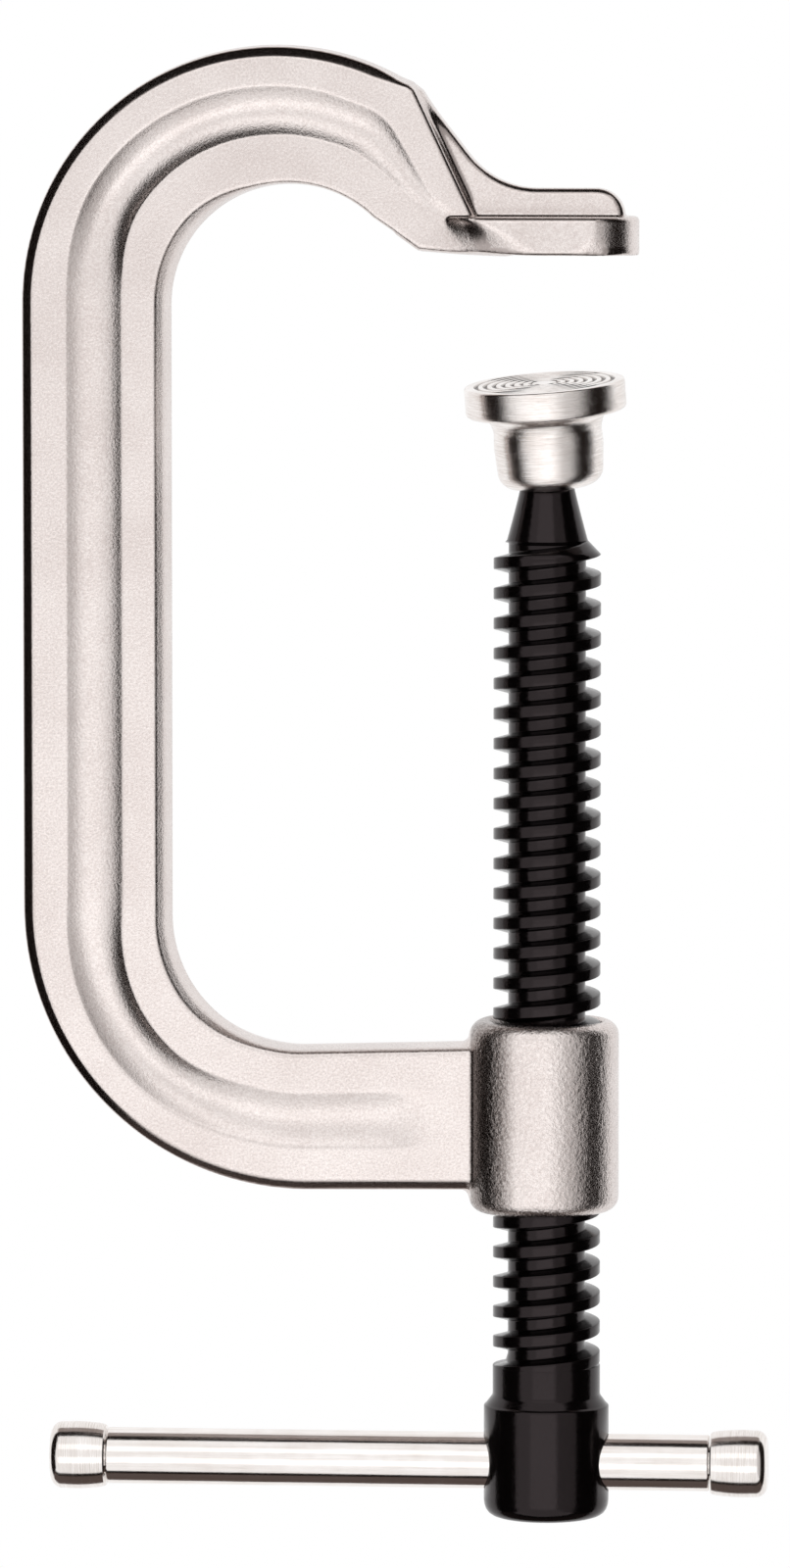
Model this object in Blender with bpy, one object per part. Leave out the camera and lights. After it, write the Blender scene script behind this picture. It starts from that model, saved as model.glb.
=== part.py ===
"""Forged screw clamp of the 150 mm class. Metres, +Z up, +X from the spine to the screw.

The origin is the middle of the anvil's clamping face and the screw's axis is the Z axis.
"""

import math

import bpy
from mathutils import Matrix, Vector

MM = 0.001

# Screw thread: one start, right-hand, trapezoidal
THREAD_PITCH = 7.0 * MM
THREAD_MAJOR_RADIUS = 12.5 * MM
THREAD_MINOR_RADIUS = 9.0 * MM
THREAD_CREST_WIDTH = 2.6 * MM
THREAD_FLANK_ANGLE = math.radians(15.0)
THREAD_BOTTOM_Z = -259.5 * MM
THREAD_CREST_Z_AT_SPINE_SIDE = -71.4 * MM
THREAD_SEGMENTS = 22
THREAD_RADIAL_CLEARANCE = 0.4 * MM
THREAD_AXIAL_CLEARANCE = 0.25 * MM
THREAD_BURY = 1.0 * MM

# Forged frame section
SECTION_HALF_THICKNESS = 8.3 * MM
DRAFT_DEPTH = 6.6 * MM
DRAFT_INSET = 0.8 * MM
RIM_BEVEL_INSET = 2.4 * MM
CHANNEL_DEPTH = 3.0 * MM
CHANNEL_RIM_BASE = 4.4 * MM
CHANNEL_RIM_SHARE = 0.177
CHANNEL_FULL_HALF_WIDTH = 6.7 * MM
CHANNEL_STATIONS = (-1.0, -0.72, -0.38, 0.0, 0.38, 0.72, 1.0)

# Frame outline at the parting plane, as (x, z)
SPINE_OUTER_X = -122.2 * MM
SPINE_INNER_X = -87.6 * MM
ARCH_OUTER_RADIUS = 59.6 * MM
ARCH_INNER_RADIUS = 28.0 * MM
ARCH_OUTER_CENTRE_Z = -10.9 * MM
ARCH_INNER_CENTRE_Z = -11.5 * MM
ARCH_OUTER_END = math.radians(60.0)
ARCH_INNER_END = math.radians(46.0)
ARM_OUTER_RADIUS = 66.2 * MM
ARM_INNER_RADIUS = 30.3 * MM
ARM_BOTTOM_Z = -218.4 * MM
ARM_TOP_Z = -184.8 * MM
NECK_CORNER = (-29.6 * MM, 38.7 * MM)
NECK_OUTER_FOOT = (-15.2 * MM, 8.0 * MM)
NECK_INNER_FOOT = (-27.0 * MM, 0.3 * MM)
CORNER_STATIONS = 10
STRAIGHT_STATIONS = 5
FOOT_INSET = 1.5 * MM
FOOT_REACH = 7.5 * MM
FOOT_DROP = 3.0 * MM

# Anvil with its stiffening rib
ANVIL_THICKNESS = 9.2 * MM
ANVIL_HALF_WIDTH = 14.5 * MM
ANVIL_TIP_X = 21.2 * MM
ANVIL_CORNER_RADIUS = 10.5 * MM
ANVIL_ROOT_X = -24.5 * MM
ANVIL_FLARE_LENGTH = 8.5 * MM
ANVIL_EDGE = 0.7 * MM
RIB_HALF_THICKNESS = 4.0 * MM
RIB_TOP_Z = 15.7 * MM
RIB_END_X = 17.9 * MM
RIB_END_RADIUS = 6.5 * MM
RIB_SLOPE_POINT = (-26.2 * MM, 33.9 * MM)
RIB_SLOPE = math.radians(52.2)
RIB_FILLET_RADIUS = 20.0 * MM
RIB_EDGE = 1.1 * MM
RIB_LEAD = 5.5 * MM
RIB_BURY = 8.0 * MM

# Threaded boss
BOSS_RADIUS = 16.8 * MM
BOSS_TOP_Z = -178.5 * MM
BOSS_BOTTOM_Z = -222.6 * MM
BOSS_EDGE_RADIUS = 3.5 * MM
BOSS_MOUTH_CHAMFER = 1.6 * MM
ARM_END_RECESS = 1.3 * MM
ARM_END_SLOPE_LENGTH = 3.2 * MM
ARM_END_HALF_THICKNESS = 5.4 * MM
CHANNEL_END_X = -24.0 * MM
CHANNEL_FADE_LENGTH = 13.0 * MM

# Screw below the thread, and its neck
SHANK_OVERSIZE = 0.15 * MM
THREAD_TAIL_SHARE = 0.9
SHANK_BOTTOM_Z = -267.8 * MM
HEAD_TOP_Z = -270.6 * MM
HEAD_BOTTOM_Z = -294.6 * MM
HEAD_RADIUS = 14.6 * MM
HEAD_EDGE_RADIUS = 4.2 * MM
HEAD_SHOULDER_EDGE = 0.8 * MM
NECK_ROOT_Z = -65.9 * MM
NECK_ROOT_RADIUS = 9.4 * MM
NECK_FLARE_TOP_Z = -51.0 * MM
NECK_FLARE_POWER = 1.3
NECK_RADIUS = 5.7 * MM
NECK_UPPER_RADIUS = 5.6 * MM
END_CHAMFER_SLOPE = 1.05

# Swivel pad and the end of the screw in it
PAD_CENTRE_Z = -40.2 * MM
PAD_FACE_RISE = 11.0 * MM
PAD_FLANGE_RADIUS = 18.7 * MM
PAD_FLANGE_THICKNESS = 7.0 * MM
PAD_FLANGE_EDGE = 0.7 * MM
PAD_FLANGE_LOWER_EDGE = 1.7 * MM
PAD_HUB_RADIUS = 13.0 * MM
PAD_HUB_FILLET = 1.6 * MM
PAD_HUB_FOOT_RADIUS = 12.2 * MM
PAD_HUB_DROP = 12.6 * MM
PAD_HUB_EDGE_RADIUS = 4.0 * MM
PAD_REST_TILT = math.radians(6.5)
PAD_TILT_HEADING = math.radians(235.0)
BUTTON_RADIUS = 7.8 * MM
BUTTON_SEAT_GAP = 0.3 * MM
BUTTON_SKIRT_RADIUS = 7.3 * MM
BUTTON_FOOT_DROP = 8.3 * MM
CAVITY_CLEARANCE = 1.2 * MM
CAVITY_SHOULDER = 1.6 * MM
LIP_CLEARANCE = 0.4 * MM
LIP_THICKNESS = 1.4 * MM
LIP_FLARE = 1.2 * MM

# Retaining ring of the pad, a split ring of round wire in a groove of the screw
RING_WIRE_RADIUS = 1.1 * MM
RING_RADIUS = 7.5 * MM
RING_DROP = 6.5 * MM
RING_GAP_ANGLE = math.radians(24.0)
RING_CLEARANCE = 0.3 * MM

# Sliding bar with its end caps
BAR_RADIUS = 6.6 * MM
BAR_AXIS_Z = -281.7 * MM
BAR_HOLE_CLEARANCE = 0.35 * MM
CAP_LEFT_FACE_X = -103.4 * MM
CAP_RIGHT_FACE_X = 38.8 * MM
CAP_LENGTH = 13.0 * MM
CAP_RADIUS = 7.9 * MM
CAP_FACE_RADIUS = 7.2 * MM
CAP_OUTER_EDGE_RADIUS = 2.6 * MM
CAP_INNER_EDGE = 0.5 * MM
CAP_BULGE_START = 0.08
CAP_BULGE_SWEEP = 0.62
SPIGOT_RADIUS = 4.5 * MM
SPIGOT_LENGTH = 9.0 * MM
SEAT_CLEARANCE = 0.3 * MM

# Corners and facets
ROUND_SEGMENTS = 36
SMALL_SEGMENTS = 24
EDGE_STEPS = 3
WIRE_SEGMENTS = 8
SHARP_ANGLE = math.radians(35.0)
BEVEL_ANGLE = math.radians(60.0)
ON_AXIS = 1e-9


def clear_scene():
    for obj in list(bpy.data.objects):
        bpy.data.objects.remove(obj, do_unlink=True)


def make_material(name, colour, roughness, metallic):
    material = bpy.data.materials.new(name)
    material.use_nodes = True
    shader = material.node_tree.nodes["Principled BSDF"]
    shader.inputs["Base Color"].default_value = (*colour, 1.0)
    shader.inputs["Roughness"].default_value = roughness
    shader.inputs["Metallic"].default_value = metallic
    material.diffuse_color = (*colour, 1.0)
    return material


def make_object(name, points, faces):
    mesh = bpy.data.meshes.new(name)
    mesh.from_pydata([tuple(p) for p in points], [], faces)
    mesh.update()
    obj = bpy.data.objects.new(name, mesh)
    bpy.context.scene.collection.objects.link(obj)
    return obj


def apply_modifiers(obj):
    bpy.context.view_layer.update()
    graph = bpy.context.evaluated_depsgraph_get()
    result = bpy.data.meshes.new_from_object(obj.evaluated_get(graph))
    old = obj.data
    obj.modifiers.clear()
    obj.data = result
    bpy.data.meshes.remove(old)


def combine(obj, other, operation):
    """Joins the other body to this one or cuts it away, and removes the other."""
    other.hide_render = True
    other.display_type = "WIRE"
    step = obj.modifiers.new(operation, "BOOLEAN")
    step.operation = operation
    step.solver = "EXACT"
    step.object = other
    apply_modifiers(obj)
    bpy.data.objects.remove(other, do_unlink=True)


def bevel(obj, width):
    step = obj.modifiers.new("edge", "BEVEL")
    step.width = width
    step.segments = 2
    step.limit_method = "ANGLE"
    step.angle_limit = BEVEL_ANGLE
    apply_modifiers(obj)


def finish(obj, name, material):
    obj.name = name
    obj.data.name = name
    obj.data.materials.clear()
    obj.data.materials.append(material)
    obj.data.shade_smooth()
    obj.data.set_sharp_from_angle(angle=SHARP_ANGLE)
    return obj


def revolve(name, profile, segments, centre=(0.0, 0.0, 0.0), along="Z"):
    """A closed body turned from (radius, height) points, whose last point joins the first."""
    points = []
    rings = []
    for radius, height in profile:
        ring = []
        if radius < ON_AXIS:
            ring.append(len(points))
            points.append(Vector((0.0, 0.0, height)))
        else:
            for i in range(segments):
                angle = 2.0 * math.pi * i / segments
                ring.append(len(points))
                points.append(
                    Vector((radius * math.cos(angle), radius * math.sin(angle), height))
                )
        rings.append(ring)
    faces = []
    for low, high in zip(rings, rings[1:] + rings[:1]):
        if len(low) == 1 and len(high) == 1:
            continue
        for i in range(segments):
            j = (i + 1) % segments
            if len(low) == 1:
                faces.append((low[0], high[j], high[i]))
            elif len(high) == 1:
                faces.append((low[i], low[j], high[0]))
            else:
                faces.append((low[i], low[j], high[j], high[i]))
    if along == "X":
        points = [Vector((p.z, p.x, p.y)) for p in points]
    offset = Vector(centre)
    return make_object(name, [p + offset for p in points], faces)


def arc(centre, radius, start, end, steps):
    """Points of an arc in a plane, both ends included."""
    return [
        (
            centre[0] + radius * math.cos(start + (end - start) * i / steps),
            centre[1] + radius * math.sin(start + (end - start) * i / steps),
        )
        for i in range(steps + 1)
    ]


def extrude_outline(name, outline, low, high, plane):
    """A plate from a closed outline: plane XZ runs along Y, plane XY runs along Z."""
    count = len(outline)
    points = []
    for level in (low, high):
        for a, b in outline:
            points.append((a, level, b) if plane == "XZ" else (a, b, level))
    faces = [
        (i, (i + 1) % count, count + (i + 1) % count, count + i) for i in range(count)
    ]
    faces.append(tuple(reversed(range(count))))
    faces.append(tuple(range(count, 2 * count)))
    area = sum(
        a[0] * b[1] - b[0] * a[1] for a, b in zip(outline, outline[1:] + outline[:1])
    )
    if (area > 0) == (plane == "XZ"):
        faces = [tuple(reversed(face)) for face in faces]
    return make_object(name, points, faces)


def crest_z(angle):
    """Height of the middle of the crest at an angle that counts on past full turns."""
    return THREAD_CREST_Z_AT_SPINE_SIDE + THREAD_PITCH * (angle - math.pi) / (2.0 * math.pi)


def threaded_rod(name, low, high, gap_r, gap_z):
    """A closed threaded rod between two heights."""
    minor = THREAD_MINOR_RADIUS + gap_r
    major = THREAD_MAJOR_RADIUS + gap_r
    crest = THREAD_CREST_WIDTH / 2.0 + gap_z
    base = crest + (major - minor) * math.tan(THREAD_FLANK_ANGLE)
    around = THREAD_SEGMENTS
    step = 2.0 * math.pi / around
    start = round(angle_at(low + base) / step) + 1
    stop = round(angle_at(high - base) / step) - 1
    count = stop - start
    points = []
    for i in range(count + 1):
        angle = (start + i) * step
        middle = crest_z(angle)
        for radius, z in (
            (minor, middle - base),
            (major, middle - crest),
            (major, middle + crest),
            (minor, middle + base),
        ):
            points.append((radius * math.cos(angle), radius * math.sin(angle), z))
    faces = []
    for i in range(count):
        for k in range(3):
            faces.append((4 * i + k, 4 * i + 4 + k, 4 * i + 5 + k, 4 * i + 1 + k))
    for i in range(count - around):
        above = i + around
        faces.append((4 * i + 3, 4 * i + 7, 4 * above + 4, 4 * above))
    faces.append((3, 0, 1, 2))
    faces.append((4 * count, 4 * count + 3, 4 * count + 2, 4 * count + 1))
    bottom = len(points)
    for j in range(around):
        angle = (start + j) * step
        points.append((minor * math.cos(angle), minor * math.sin(angle), low))
    top = len(points)
    first = count - around
    for j in range(around):
        angle = (start + first + j) * step
        points.append((minor * math.cos(angle), minor * math.sin(angle), high))
    for j in range(around - 1):
        faces.append((bottom + j, bottom + j + 1, 4 * j + 4, 4 * j))
    seam = 4 * (around - 1)
    faces.append((bottom + around - 1, bottom, 0, 3, seam + 4, seam))
    for j in range(1, around - 1):
        i = 4 * (first + j)
        faces.append((i + 3, i + 7, top + j + 1, top + j))
    i = 4 * (count - 1)
    faces.append((i + 3, i + 7, top, top + around - 1))
    i = 4 * first
    faces.append((4 * count, i + 3, i + 7, top + 1, top, 4 * count + 3))
    faces.append(tuple(bottom + j for j in reversed(range(around))))
    faces.append(tuple(top + j for j in range(around)))
    return make_object(name, points, faces)


def angle_at(z):
    """Angle at which the crest's middle reaches a height."""
    return math.pi + 2.0 * math.pi * (z - THREAD_CREST_Z_AT_SPINE_SIDE) / THREAD_PITCH


def frame_stations():
    """(outer point, inner point, share of channel depth) from the boss round to the anvil."""
    stations = []
    arm_outer = (SPINE_OUTER_X + ARM_OUTER_RADIUS, ARM_BOTTOM_Z + ARM_OUTER_RADIUS)
    arm_inner = (SPINE_INNER_X + ARM_INNER_RADIUS, ARM_TOP_Z + ARM_INNER_RADIUS)
    fade_start = CHANNEL_END_X - CHANNEL_FADE_LENGTH
    for i in range(STRAIGHT_STATIONS + 1):
        share = i / STRAIGHT_STATIONS
        x = CHANNEL_END_X + (fade_start - CHANNEL_END_X) * share
        depth = 0.5 - 0.5 * math.cos(math.pi * share)
        stations.append(((x, ARM_BOTTOM_Z), (x, ARM_TOP_Z), depth))
    outer = arc(arm_outer, ARM_OUTER_RADIUS, -math.pi / 2, -math.pi, CORNER_STATIONS)
    inner = arc(arm_inner, ARM_INNER_RADIUS, -math.pi / 2, -math.pi, CORNER_STATIONS)
    stations += [(o, i, 1.0) for o, i in zip(outer, inner)]
    arch_outer = (SPINE_OUTER_X + ARCH_OUTER_RADIUS, ARCH_OUTER_CENTRE_Z)
    arch_inner = (SPINE_INNER_X + ARCH_INNER_RADIUS, ARCH_INNER_CENTRE_Z)
    outer = arc(arch_outer, ARCH_OUTER_RADIUS, math.pi, math.pi / 2, CORNER_STATIONS)
    inner = arc(arch_inner, ARCH_INNER_RADIUS, math.pi, math.pi / 2, CORNER_STATIONS)
    stations += [(o, i, 1.0) for o, i in zip(outer, inner)]
    steps = STRAIGHT_STATIONS
    nose_outer = arc(arch_outer, ARCH_OUTER_RADIUS, math.pi / 2, ARCH_OUTER_END, steps)[1:]
    steps = STRAIGHT_STATIONS + 1
    nose_inner = arc(arch_inner, ARCH_INNER_RADIUS, math.pi / 2, ARCH_INNER_END, steps)[1:]
    nose_outer.append(NECK_CORNER)
    stations += [(o, i, 1.0) for o, i in zip(nose_outer, nose_inner)]
    slope_start = nose_inner[-1]
    for i in range(1, STRAIGHT_STATIONS + 1):
        share = i / STRAIGHT_STATIONS
        outer_point = tuple(
            a + (b - a) * share for a, b in zip(NECK_CORNER, NECK_OUTER_FOOT)
        )
        inner_point = tuple(
            a + (b - a) * share for a, b in zip(slope_start, NECK_INNER_FOOT)
        )
        stations.append((outer_point, inner_point, max(0.0, 1.0 - share**2)))
    return stations


def section_ring(outer, inner, channel, half, bevel_inset):
    """Points of the I-section between an outer and an inner point of the parting line."""
    o = Vector((outer[0], 0.0, outer[1]))
    i = Vector((inner[0], 0.0, inner[1]))
    width = (i - o).length
    u = (i - o).normalized()
    rim = CHANNEL_RIM_BASE + CHANNEL_RIM_SHARE * width
    reach = width / 2.0 - rim
    depth = CHANNEL_DEPTH * channel * min(1.0, reach / CHANNEL_FULL_HALF_WIDTH)
    side = half - (SECTION_HALF_THICKNESS - DRAFT_DEPTH) * bevel_inset / RIM_BEVEL_INSET
    front = [
        (0.0, 0.0),
        (DRAFT_INSET, side),
        (DRAFT_INSET + bevel_inset, half),
    ]
    for t in CHANNEL_STATIONS:
        front.append((width / 2.0 + reach * t, half - depth * (1.0 - t * t)))
    front.append((width - DRAFT_INSET - bevel_inset, half))
    front.append((width - DRAFT_INSET, side))
    front.append((width, 0.0))
    ring = [o + u * n + Vector((0.0, -y, 0.0)) for n, y in front]
    ring += [o + u * n + Vector((0.0, y, 0.0)) for n, y in reversed(front[1:-1])]
    return ring


def build_arm_body():
    """The I-section swept from the boss, round the spine and the arch, into the anvil."""
    rings = []
    arm_end_x = -BOSS_RADIUS - ARM_END_RECESS
    tail_x = arm_end_x + ARM_END_SLOPE_LENGTH
    tail = section_ring(
        (tail_x, ARM_BOTTOM_Z),
        (tail_x, ARM_TOP_Z),
        0.0,
        ARM_END_HALF_THICKNESS,
        RIM_BEVEL_INSET,
    )
    rings.append(tail)
    rings.append(
        section_ring(
            (arm_end_x, ARM_BOTTOM_Z),
            (arm_end_x, ARM_TOP_Z),
            0.0,
            SECTION_HALF_THICKNESS,
            RIM_BEVEL_INSET,
        )
    )
    for outer, inner, channel in frame_stations():
        rings.append(
            section_ring(outer, inner, channel, SECTION_HALF_THICKNESS, RIM_BEVEL_INSET)
        )
    rings.append(
        section_ring(
            (NECK_OUTER_FOOT[0] + FOOT_INSET, NECK_OUTER_FOOT[1] - FOOT_DROP),
            (NECK_INNER_FOOT[0] + FOOT_REACH, NECK_INNER_FOOT[1] + FOOT_INSET),
            0.0,
            SECTION_HALF_THICKNESS - FOOT_INSET,
            RIM_BEVEL_INSET / 2.0,
        )
    )
    count = len(rings[0])
    points = [point for ring in rings for point in ring]
    faces = []
    for k in range(len(rings) - 1):
        for j in range(count):
            n = (j + 1) % count
            a = k * count
            b = a + count
            faces.append((a + j, a + n, b + n, b + j))
    faces.append(tuple(reversed(range(count))))
    last = (len(rings) - 1) * count
    faces.append(tuple(last + j for j in range(count)))
    return make_object("arm_body", points, faces)


def build_rib():
    """Upright web that joins the arch to the anvil and runs out along its top."""
    slope = Vector((math.cos(RIB_SLOPE), -math.sin(RIB_SLOPE)))
    start = Vector(RIB_SLOPE_POINT)
    drop = (RIB_TOP_Z - start.y) / slope.y
    corner = start + slope * drop
    reach = RIB_FILLET_RADIUS * math.tan(RIB_SLOPE / 2.0)
    centre = (corner.x + reach, RIB_TOP_Z + RIB_FILLET_RADIUS)
    fillet = arc(
        centre, RIB_FILLET_RADIUS, -math.pi / 2 - RIB_SLOPE, -math.pi / 2, 2 * EDGE_STEPS
    )
    nose = arc(
        (RIB_END_X - RIB_END_RADIUS, RIB_TOP_Z - RIB_END_RADIUS),
        RIB_END_RADIUS,
        math.pi / 2,
        0.0,
        2 * EDGE_STEPS,
    )
    start = start - slope * RIB_LEAD
    outline = [(NECK_CORNER[0] - RIB_BURY, start.y - RIB_BURY), tuple(start)]
    outline += fillet + nose
    outline += [
        (RIB_END_X, ANVIL_THICKNESS / 2.0),
        (NECK_INNER_FOOT[0] + RIB_BURY, ANVIL_THICKNESS / 2.0),
    ]
    rib = extrude_outline("rib", outline, -RIB_HALF_THICKNESS, RIB_HALF_THICKNESS, "XZ")
    bevel(rib, RIB_EDGE)
    return rib


def build_anvil():
    """Flat tongue with a flared root and a rounded tip; its underside is the jaw face."""
    side = []
    steps = 2 * EDGE_STEPS
    root = SECTION_HALF_THICKNESS - DRAFT_INSET
    for i in range(steps + 1):
        share = i / steps
        flare = 0.5 - 0.5 * math.cos(math.pi * share)
        side.append(
            (
                ANVIL_ROOT_X + ANVIL_FLARE_LENGTH * share,
                -(root + (ANVIL_HALF_WIDTH - root) * flare),
            )
        )
    side += arc(
        (ANVIL_TIP_X - ANVIL_CORNER_RADIUS, -ANVIL_HALF_WIDTH + ANVIL_CORNER_RADIUS),
        ANVIL_CORNER_RADIUS,
        -math.pi / 2,
        0.0,
        2 * EDGE_STEPS,
    )
    outline = side + [(x, -y) for x, y in reversed(side)]
    anvil = extrude_outline("anvil", outline, 0.0, ANVIL_THICKNESS, "XY")
    bevel(anvil, ANVIL_EDGE)
    return anvil


def build_boss():
    height = BOSS_TOP_Z - BOSS_BOTTOM_Z
    r = BOSS_EDGE_RADIUS
    profile = [(0.0, 0.0)]
    profile += arc((BOSS_RADIUS - r, r), r, -math.pi / 2, 0.0, EDGE_STEPS)
    profile += arc((BOSS_RADIUS - r, height - r), r, 0.0, math.pi / 2, EDGE_STEPS)
    profile.append((0.0, height))
    return revolve("boss", profile, ROUND_SEGMENTS, (0.0, 0.0, BOSS_BOTTOM_Z))


def build_boss_thread_cutter():
    """The screw's own thread, grown by its clearances, with a chamfered mouth at each end."""
    over = 2.0 * THREAD_PITCH
    cutter = threaded_rod(
        "bore",
        BOSS_BOTTOM_Z - over,
        BOSS_TOP_Z + over,
        THREAD_RADIAL_CLEARANCE,
        THREAD_AXIAL_CLEARANCE,
    )
    inner = THREAD_MINOR_RADIUS - THREAD_BURY
    mouth = THREAD_MAJOR_RADIUS + THREAD_RADIAL_CLEARANCE + BOSS_MOUTH_CHAMFER / 2.0
    reach = mouth - inner
    rise = BOSS_EDGE_RADIUS
    for z, way in ((BOSS_BOTTOM_Z, 1.0), (BOSS_TOP_Z, -1.0)):
        cone = [
            (0.0, z + way * reach),
            (mouth + rise, z - way * rise),
            (0.0, z - way * rise),
        ]
        if way > 0:
            cone.reverse()
        combine(cutter, revolve("mouth", cone, ROUND_SEGMENTS), "UNION")
    return cutter


def build_frame(material):
    frame = build_arm_body()
    combine(frame, build_rib(), "UNION")
    combine(frame, build_anvil(), "UNION")
    combine(frame, build_boss(), "UNION")
    combine(frame, build_boss_thread_cutter(), "DIFFERENCE")
    return finish(frame, "frame", material)


def head_profile():
    """(radius, z) of the head and the plain shank, from the bottom up."""
    r = HEAD_EDGE_RADIUS
    shank = THREAD_MAJOR_RADIUS + SHANK_OVERSIZE
    profile = [(0.0, HEAD_BOTTOM_Z)]
    profile += arc(
        (HEAD_RADIUS - r, HEAD_BOTTOM_Z + r), r, -math.pi / 2, 0.0, EDGE_STEPS
    )
    profile += [
        (HEAD_RADIUS, HEAD_TOP_Z - HEAD_SHOULDER_EDGE),
        (HEAD_RADIUS - HEAD_SHOULDER_EDGE / 2.0, HEAD_TOP_Z),
        (shank, SHANK_BOTTOM_Z),
        (shank, THREAD_BOTTOM_Z),
        (0.0, THREAD_BOTTOM_Z),
    ]
    return profile


def turned_end_profile():
    """(radius, z) that the screw's upper end is turned to: chamfer, flared neck and button."""
    clear = THREAD_MAJOR_RADIUS + THREAD_BURY
    chamfer = (clear - NECK_ROOT_RADIUS) * END_CHAMFER_SLOPE
    low = THREAD_BOTTOM_Z - THREAD_PITCH
    profile = [(0.0, low), (clear, low), (clear, NECK_ROOT_Z - chamfer)]
    steps = 2 * EDGE_STEPS
    for i in range(steps):
        share = i / steps
        flare = (1.0 - share) ** NECK_FLARE_POWER
        profile.append(
            (
                NECK_RADIUS + (NECK_ROOT_RADIUS - NECK_RADIUS) * flare,
                NECK_ROOT_Z + (NECK_FLARE_TOP_Z - NECK_ROOT_Z) * share,
            )
        )
    foot = PAD_CENTRE_Z - BUTTON_FOOT_DROP
    groove = RING_WIRE_RADIUS + RING_CLEARANCE
    groove_radius = RING_RADIUS - RING_WIRE_RADIUS - RING_CLEARANCE
    ring_z = PAD_CENTRE_Z - RING_DROP
    foot_chamfer = BUTTON_SKIRT_RADIUS - NECK_UPPER_RADIUS
    profile += [
        (NECK_RADIUS, NECK_FLARE_TOP_Z),
        (NECK_UPPER_RADIUS, foot - foot_chamfer),
        (BUTTON_SKIRT_RADIUS - foot_chamfer / 2.0, foot - foot_chamfer / 4.0),
        (BUTTON_SKIRT_RADIUS, foot),
        (BUTTON_SKIRT_RADIUS, ring_z - groove),
        (groove_radius, ring_z - groove),
        (groove_radius, ring_z + groove),
        (BUTTON_SKIRT_RADIUS, ring_z + groove),
    ]
    skirt_drop = math.sqrt(BUTTON_RADIUS**2 - BUTTON_SKIRT_RADIUS**2)
    start = math.atan2(-skirt_drop, BUTTON_SKIRT_RADIUS)
    dome = arc((0.0, PAD_CENTRE_Z), BUTTON_RADIUS, start, math.pi / 2, 2 * EDGE_STEPS)
    profile += dome[:-1]
    profile.append((0.0, PAD_CENTRE_Z + BUTTON_RADIUS))
    return profile


def build_spindle(material):
    spindle = threaded_rod(
        "spindle",
        THREAD_BOTTOM_Z - THREAD_TAIL_SHARE * THREAD_PITCH,
        PAD_CENTRE_Z + BUTTON_RADIUS + THREAD_BURY,
        0.0,
        0.0,
    )
    turned = revolve("turned_end", turned_end_profile(), ROUND_SEGMENTS)
    combine(spindle, turned, "INTERSECT")
    combine(spindle, revolve("head", head_profile(), ROUND_SEGMENTS), "UNION")
    reach = 2.0 * HEAD_RADIUS
    hole_radius = BAR_RADIUS + BAR_HOLE_CLEARANCE
    hole = [(0.0, -reach), (hole_radius, -reach), (hole_radius, reach), (0.0, reach)]
    cutter = revolve("bar_hole", hole, SMALL_SEGMENTS, (0.0, 0.0, BAR_AXIS_Z), "X")
    combine(spindle, cutter, "DIFFERENCE")
    return finish(spindle, "spindle", material)


def pad_profile():
    """(radius, height from the swivel centre) round the whole wall of the pad."""
    top = PAD_FACE_RISE
    under = top - PAD_FLANGE_THICKNESS
    bottom = -PAD_HUB_DROP
    e = PAD_FLANGE_EDGE
    r = PAD_HUB_EDGE_RADIUS
    seat = BUTTON_RADIUS + BUTTON_SEAT_GAP
    lip = BUTTON_SKIRT_RADIUS + LIP_CLEARANCE
    outside = [(lip + LIP_FLARE, bottom)]
    hub_edge = arc(
        (PAD_HUB_FOOT_RADIUS - r, bottom + r), r, -math.pi / 4, 0.0, EDGE_STEPS
    )
    outside += hub_edge
    outside += [
        (PAD_HUB_RADIUS, under - PAD_HUB_FILLET),
        (PAD_HUB_RADIUS + PAD_HUB_FILLET / 3.0, under - PAD_HUB_FILLET / 3.0),
        (PAD_HUB_RADIUS + PAD_HUB_FILLET, under),
    ]
    lower = PAD_FLANGE_LOWER_EDGE
    outside += arc(
        (PAD_FLANGE_RADIUS - lower, under + lower), lower, -math.pi / 2, 0.0, EDGE_STEPS
    )
    outside += [
        (PAD_FLANGE_RADIUS, top - e),
        (PAD_FLANGE_RADIUS - e, top),
        (0.0, top),
    ]
    ring_reach = RING_RADIUS + RING_WIRE_RADIUS
    cavity = ring_reach + CAVITY_CLEARANCE
    cavity_top = RING_WIRE_RADIUS + 2.0 * CAVITY_CLEARANCE - RING_DROP
    lip_top = -RING_DROP - RING_WIRE_RADIUS - 2.0 * RING_CLEARANCE - CAVITY_CLEARANCE
    lip_foot = lip_top - LIP_THICKNESS
    inside = [(0.0, seat)]
    inside += arc((0.0, 0.0), seat, math.pi / 2, 0.0, 2 * EDGE_STEPS)[1:]
    inside += [
        (seat, cavity_top + CAVITY_SHOULDER / 2.0),
        (cavity, cavity_top),
        (cavity, lip_top),
        (lip, lip_top),
        (lip, lip_foot),
        (lip + LIP_FLARE, bottom),
    ]
    return outside + inside[:-1]


def build_pad(material):
    pad = revolve("pressure_pad", pad_profile(), ROUND_SEGMENTS)
    axis = Vector((-math.sin(PAD_TILT_HEADING), math.cos(PAD_TILT_HEADING), 0.0))
    pad.matrix_world = Matrix.Translation((0.0, 0.0, PAD_CENTRE_Z)) @ Matrix.Rotation(
        PAD_REST_TILT, 4, axis
    )
    return finish(pad, "pressure_pad", material)


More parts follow.
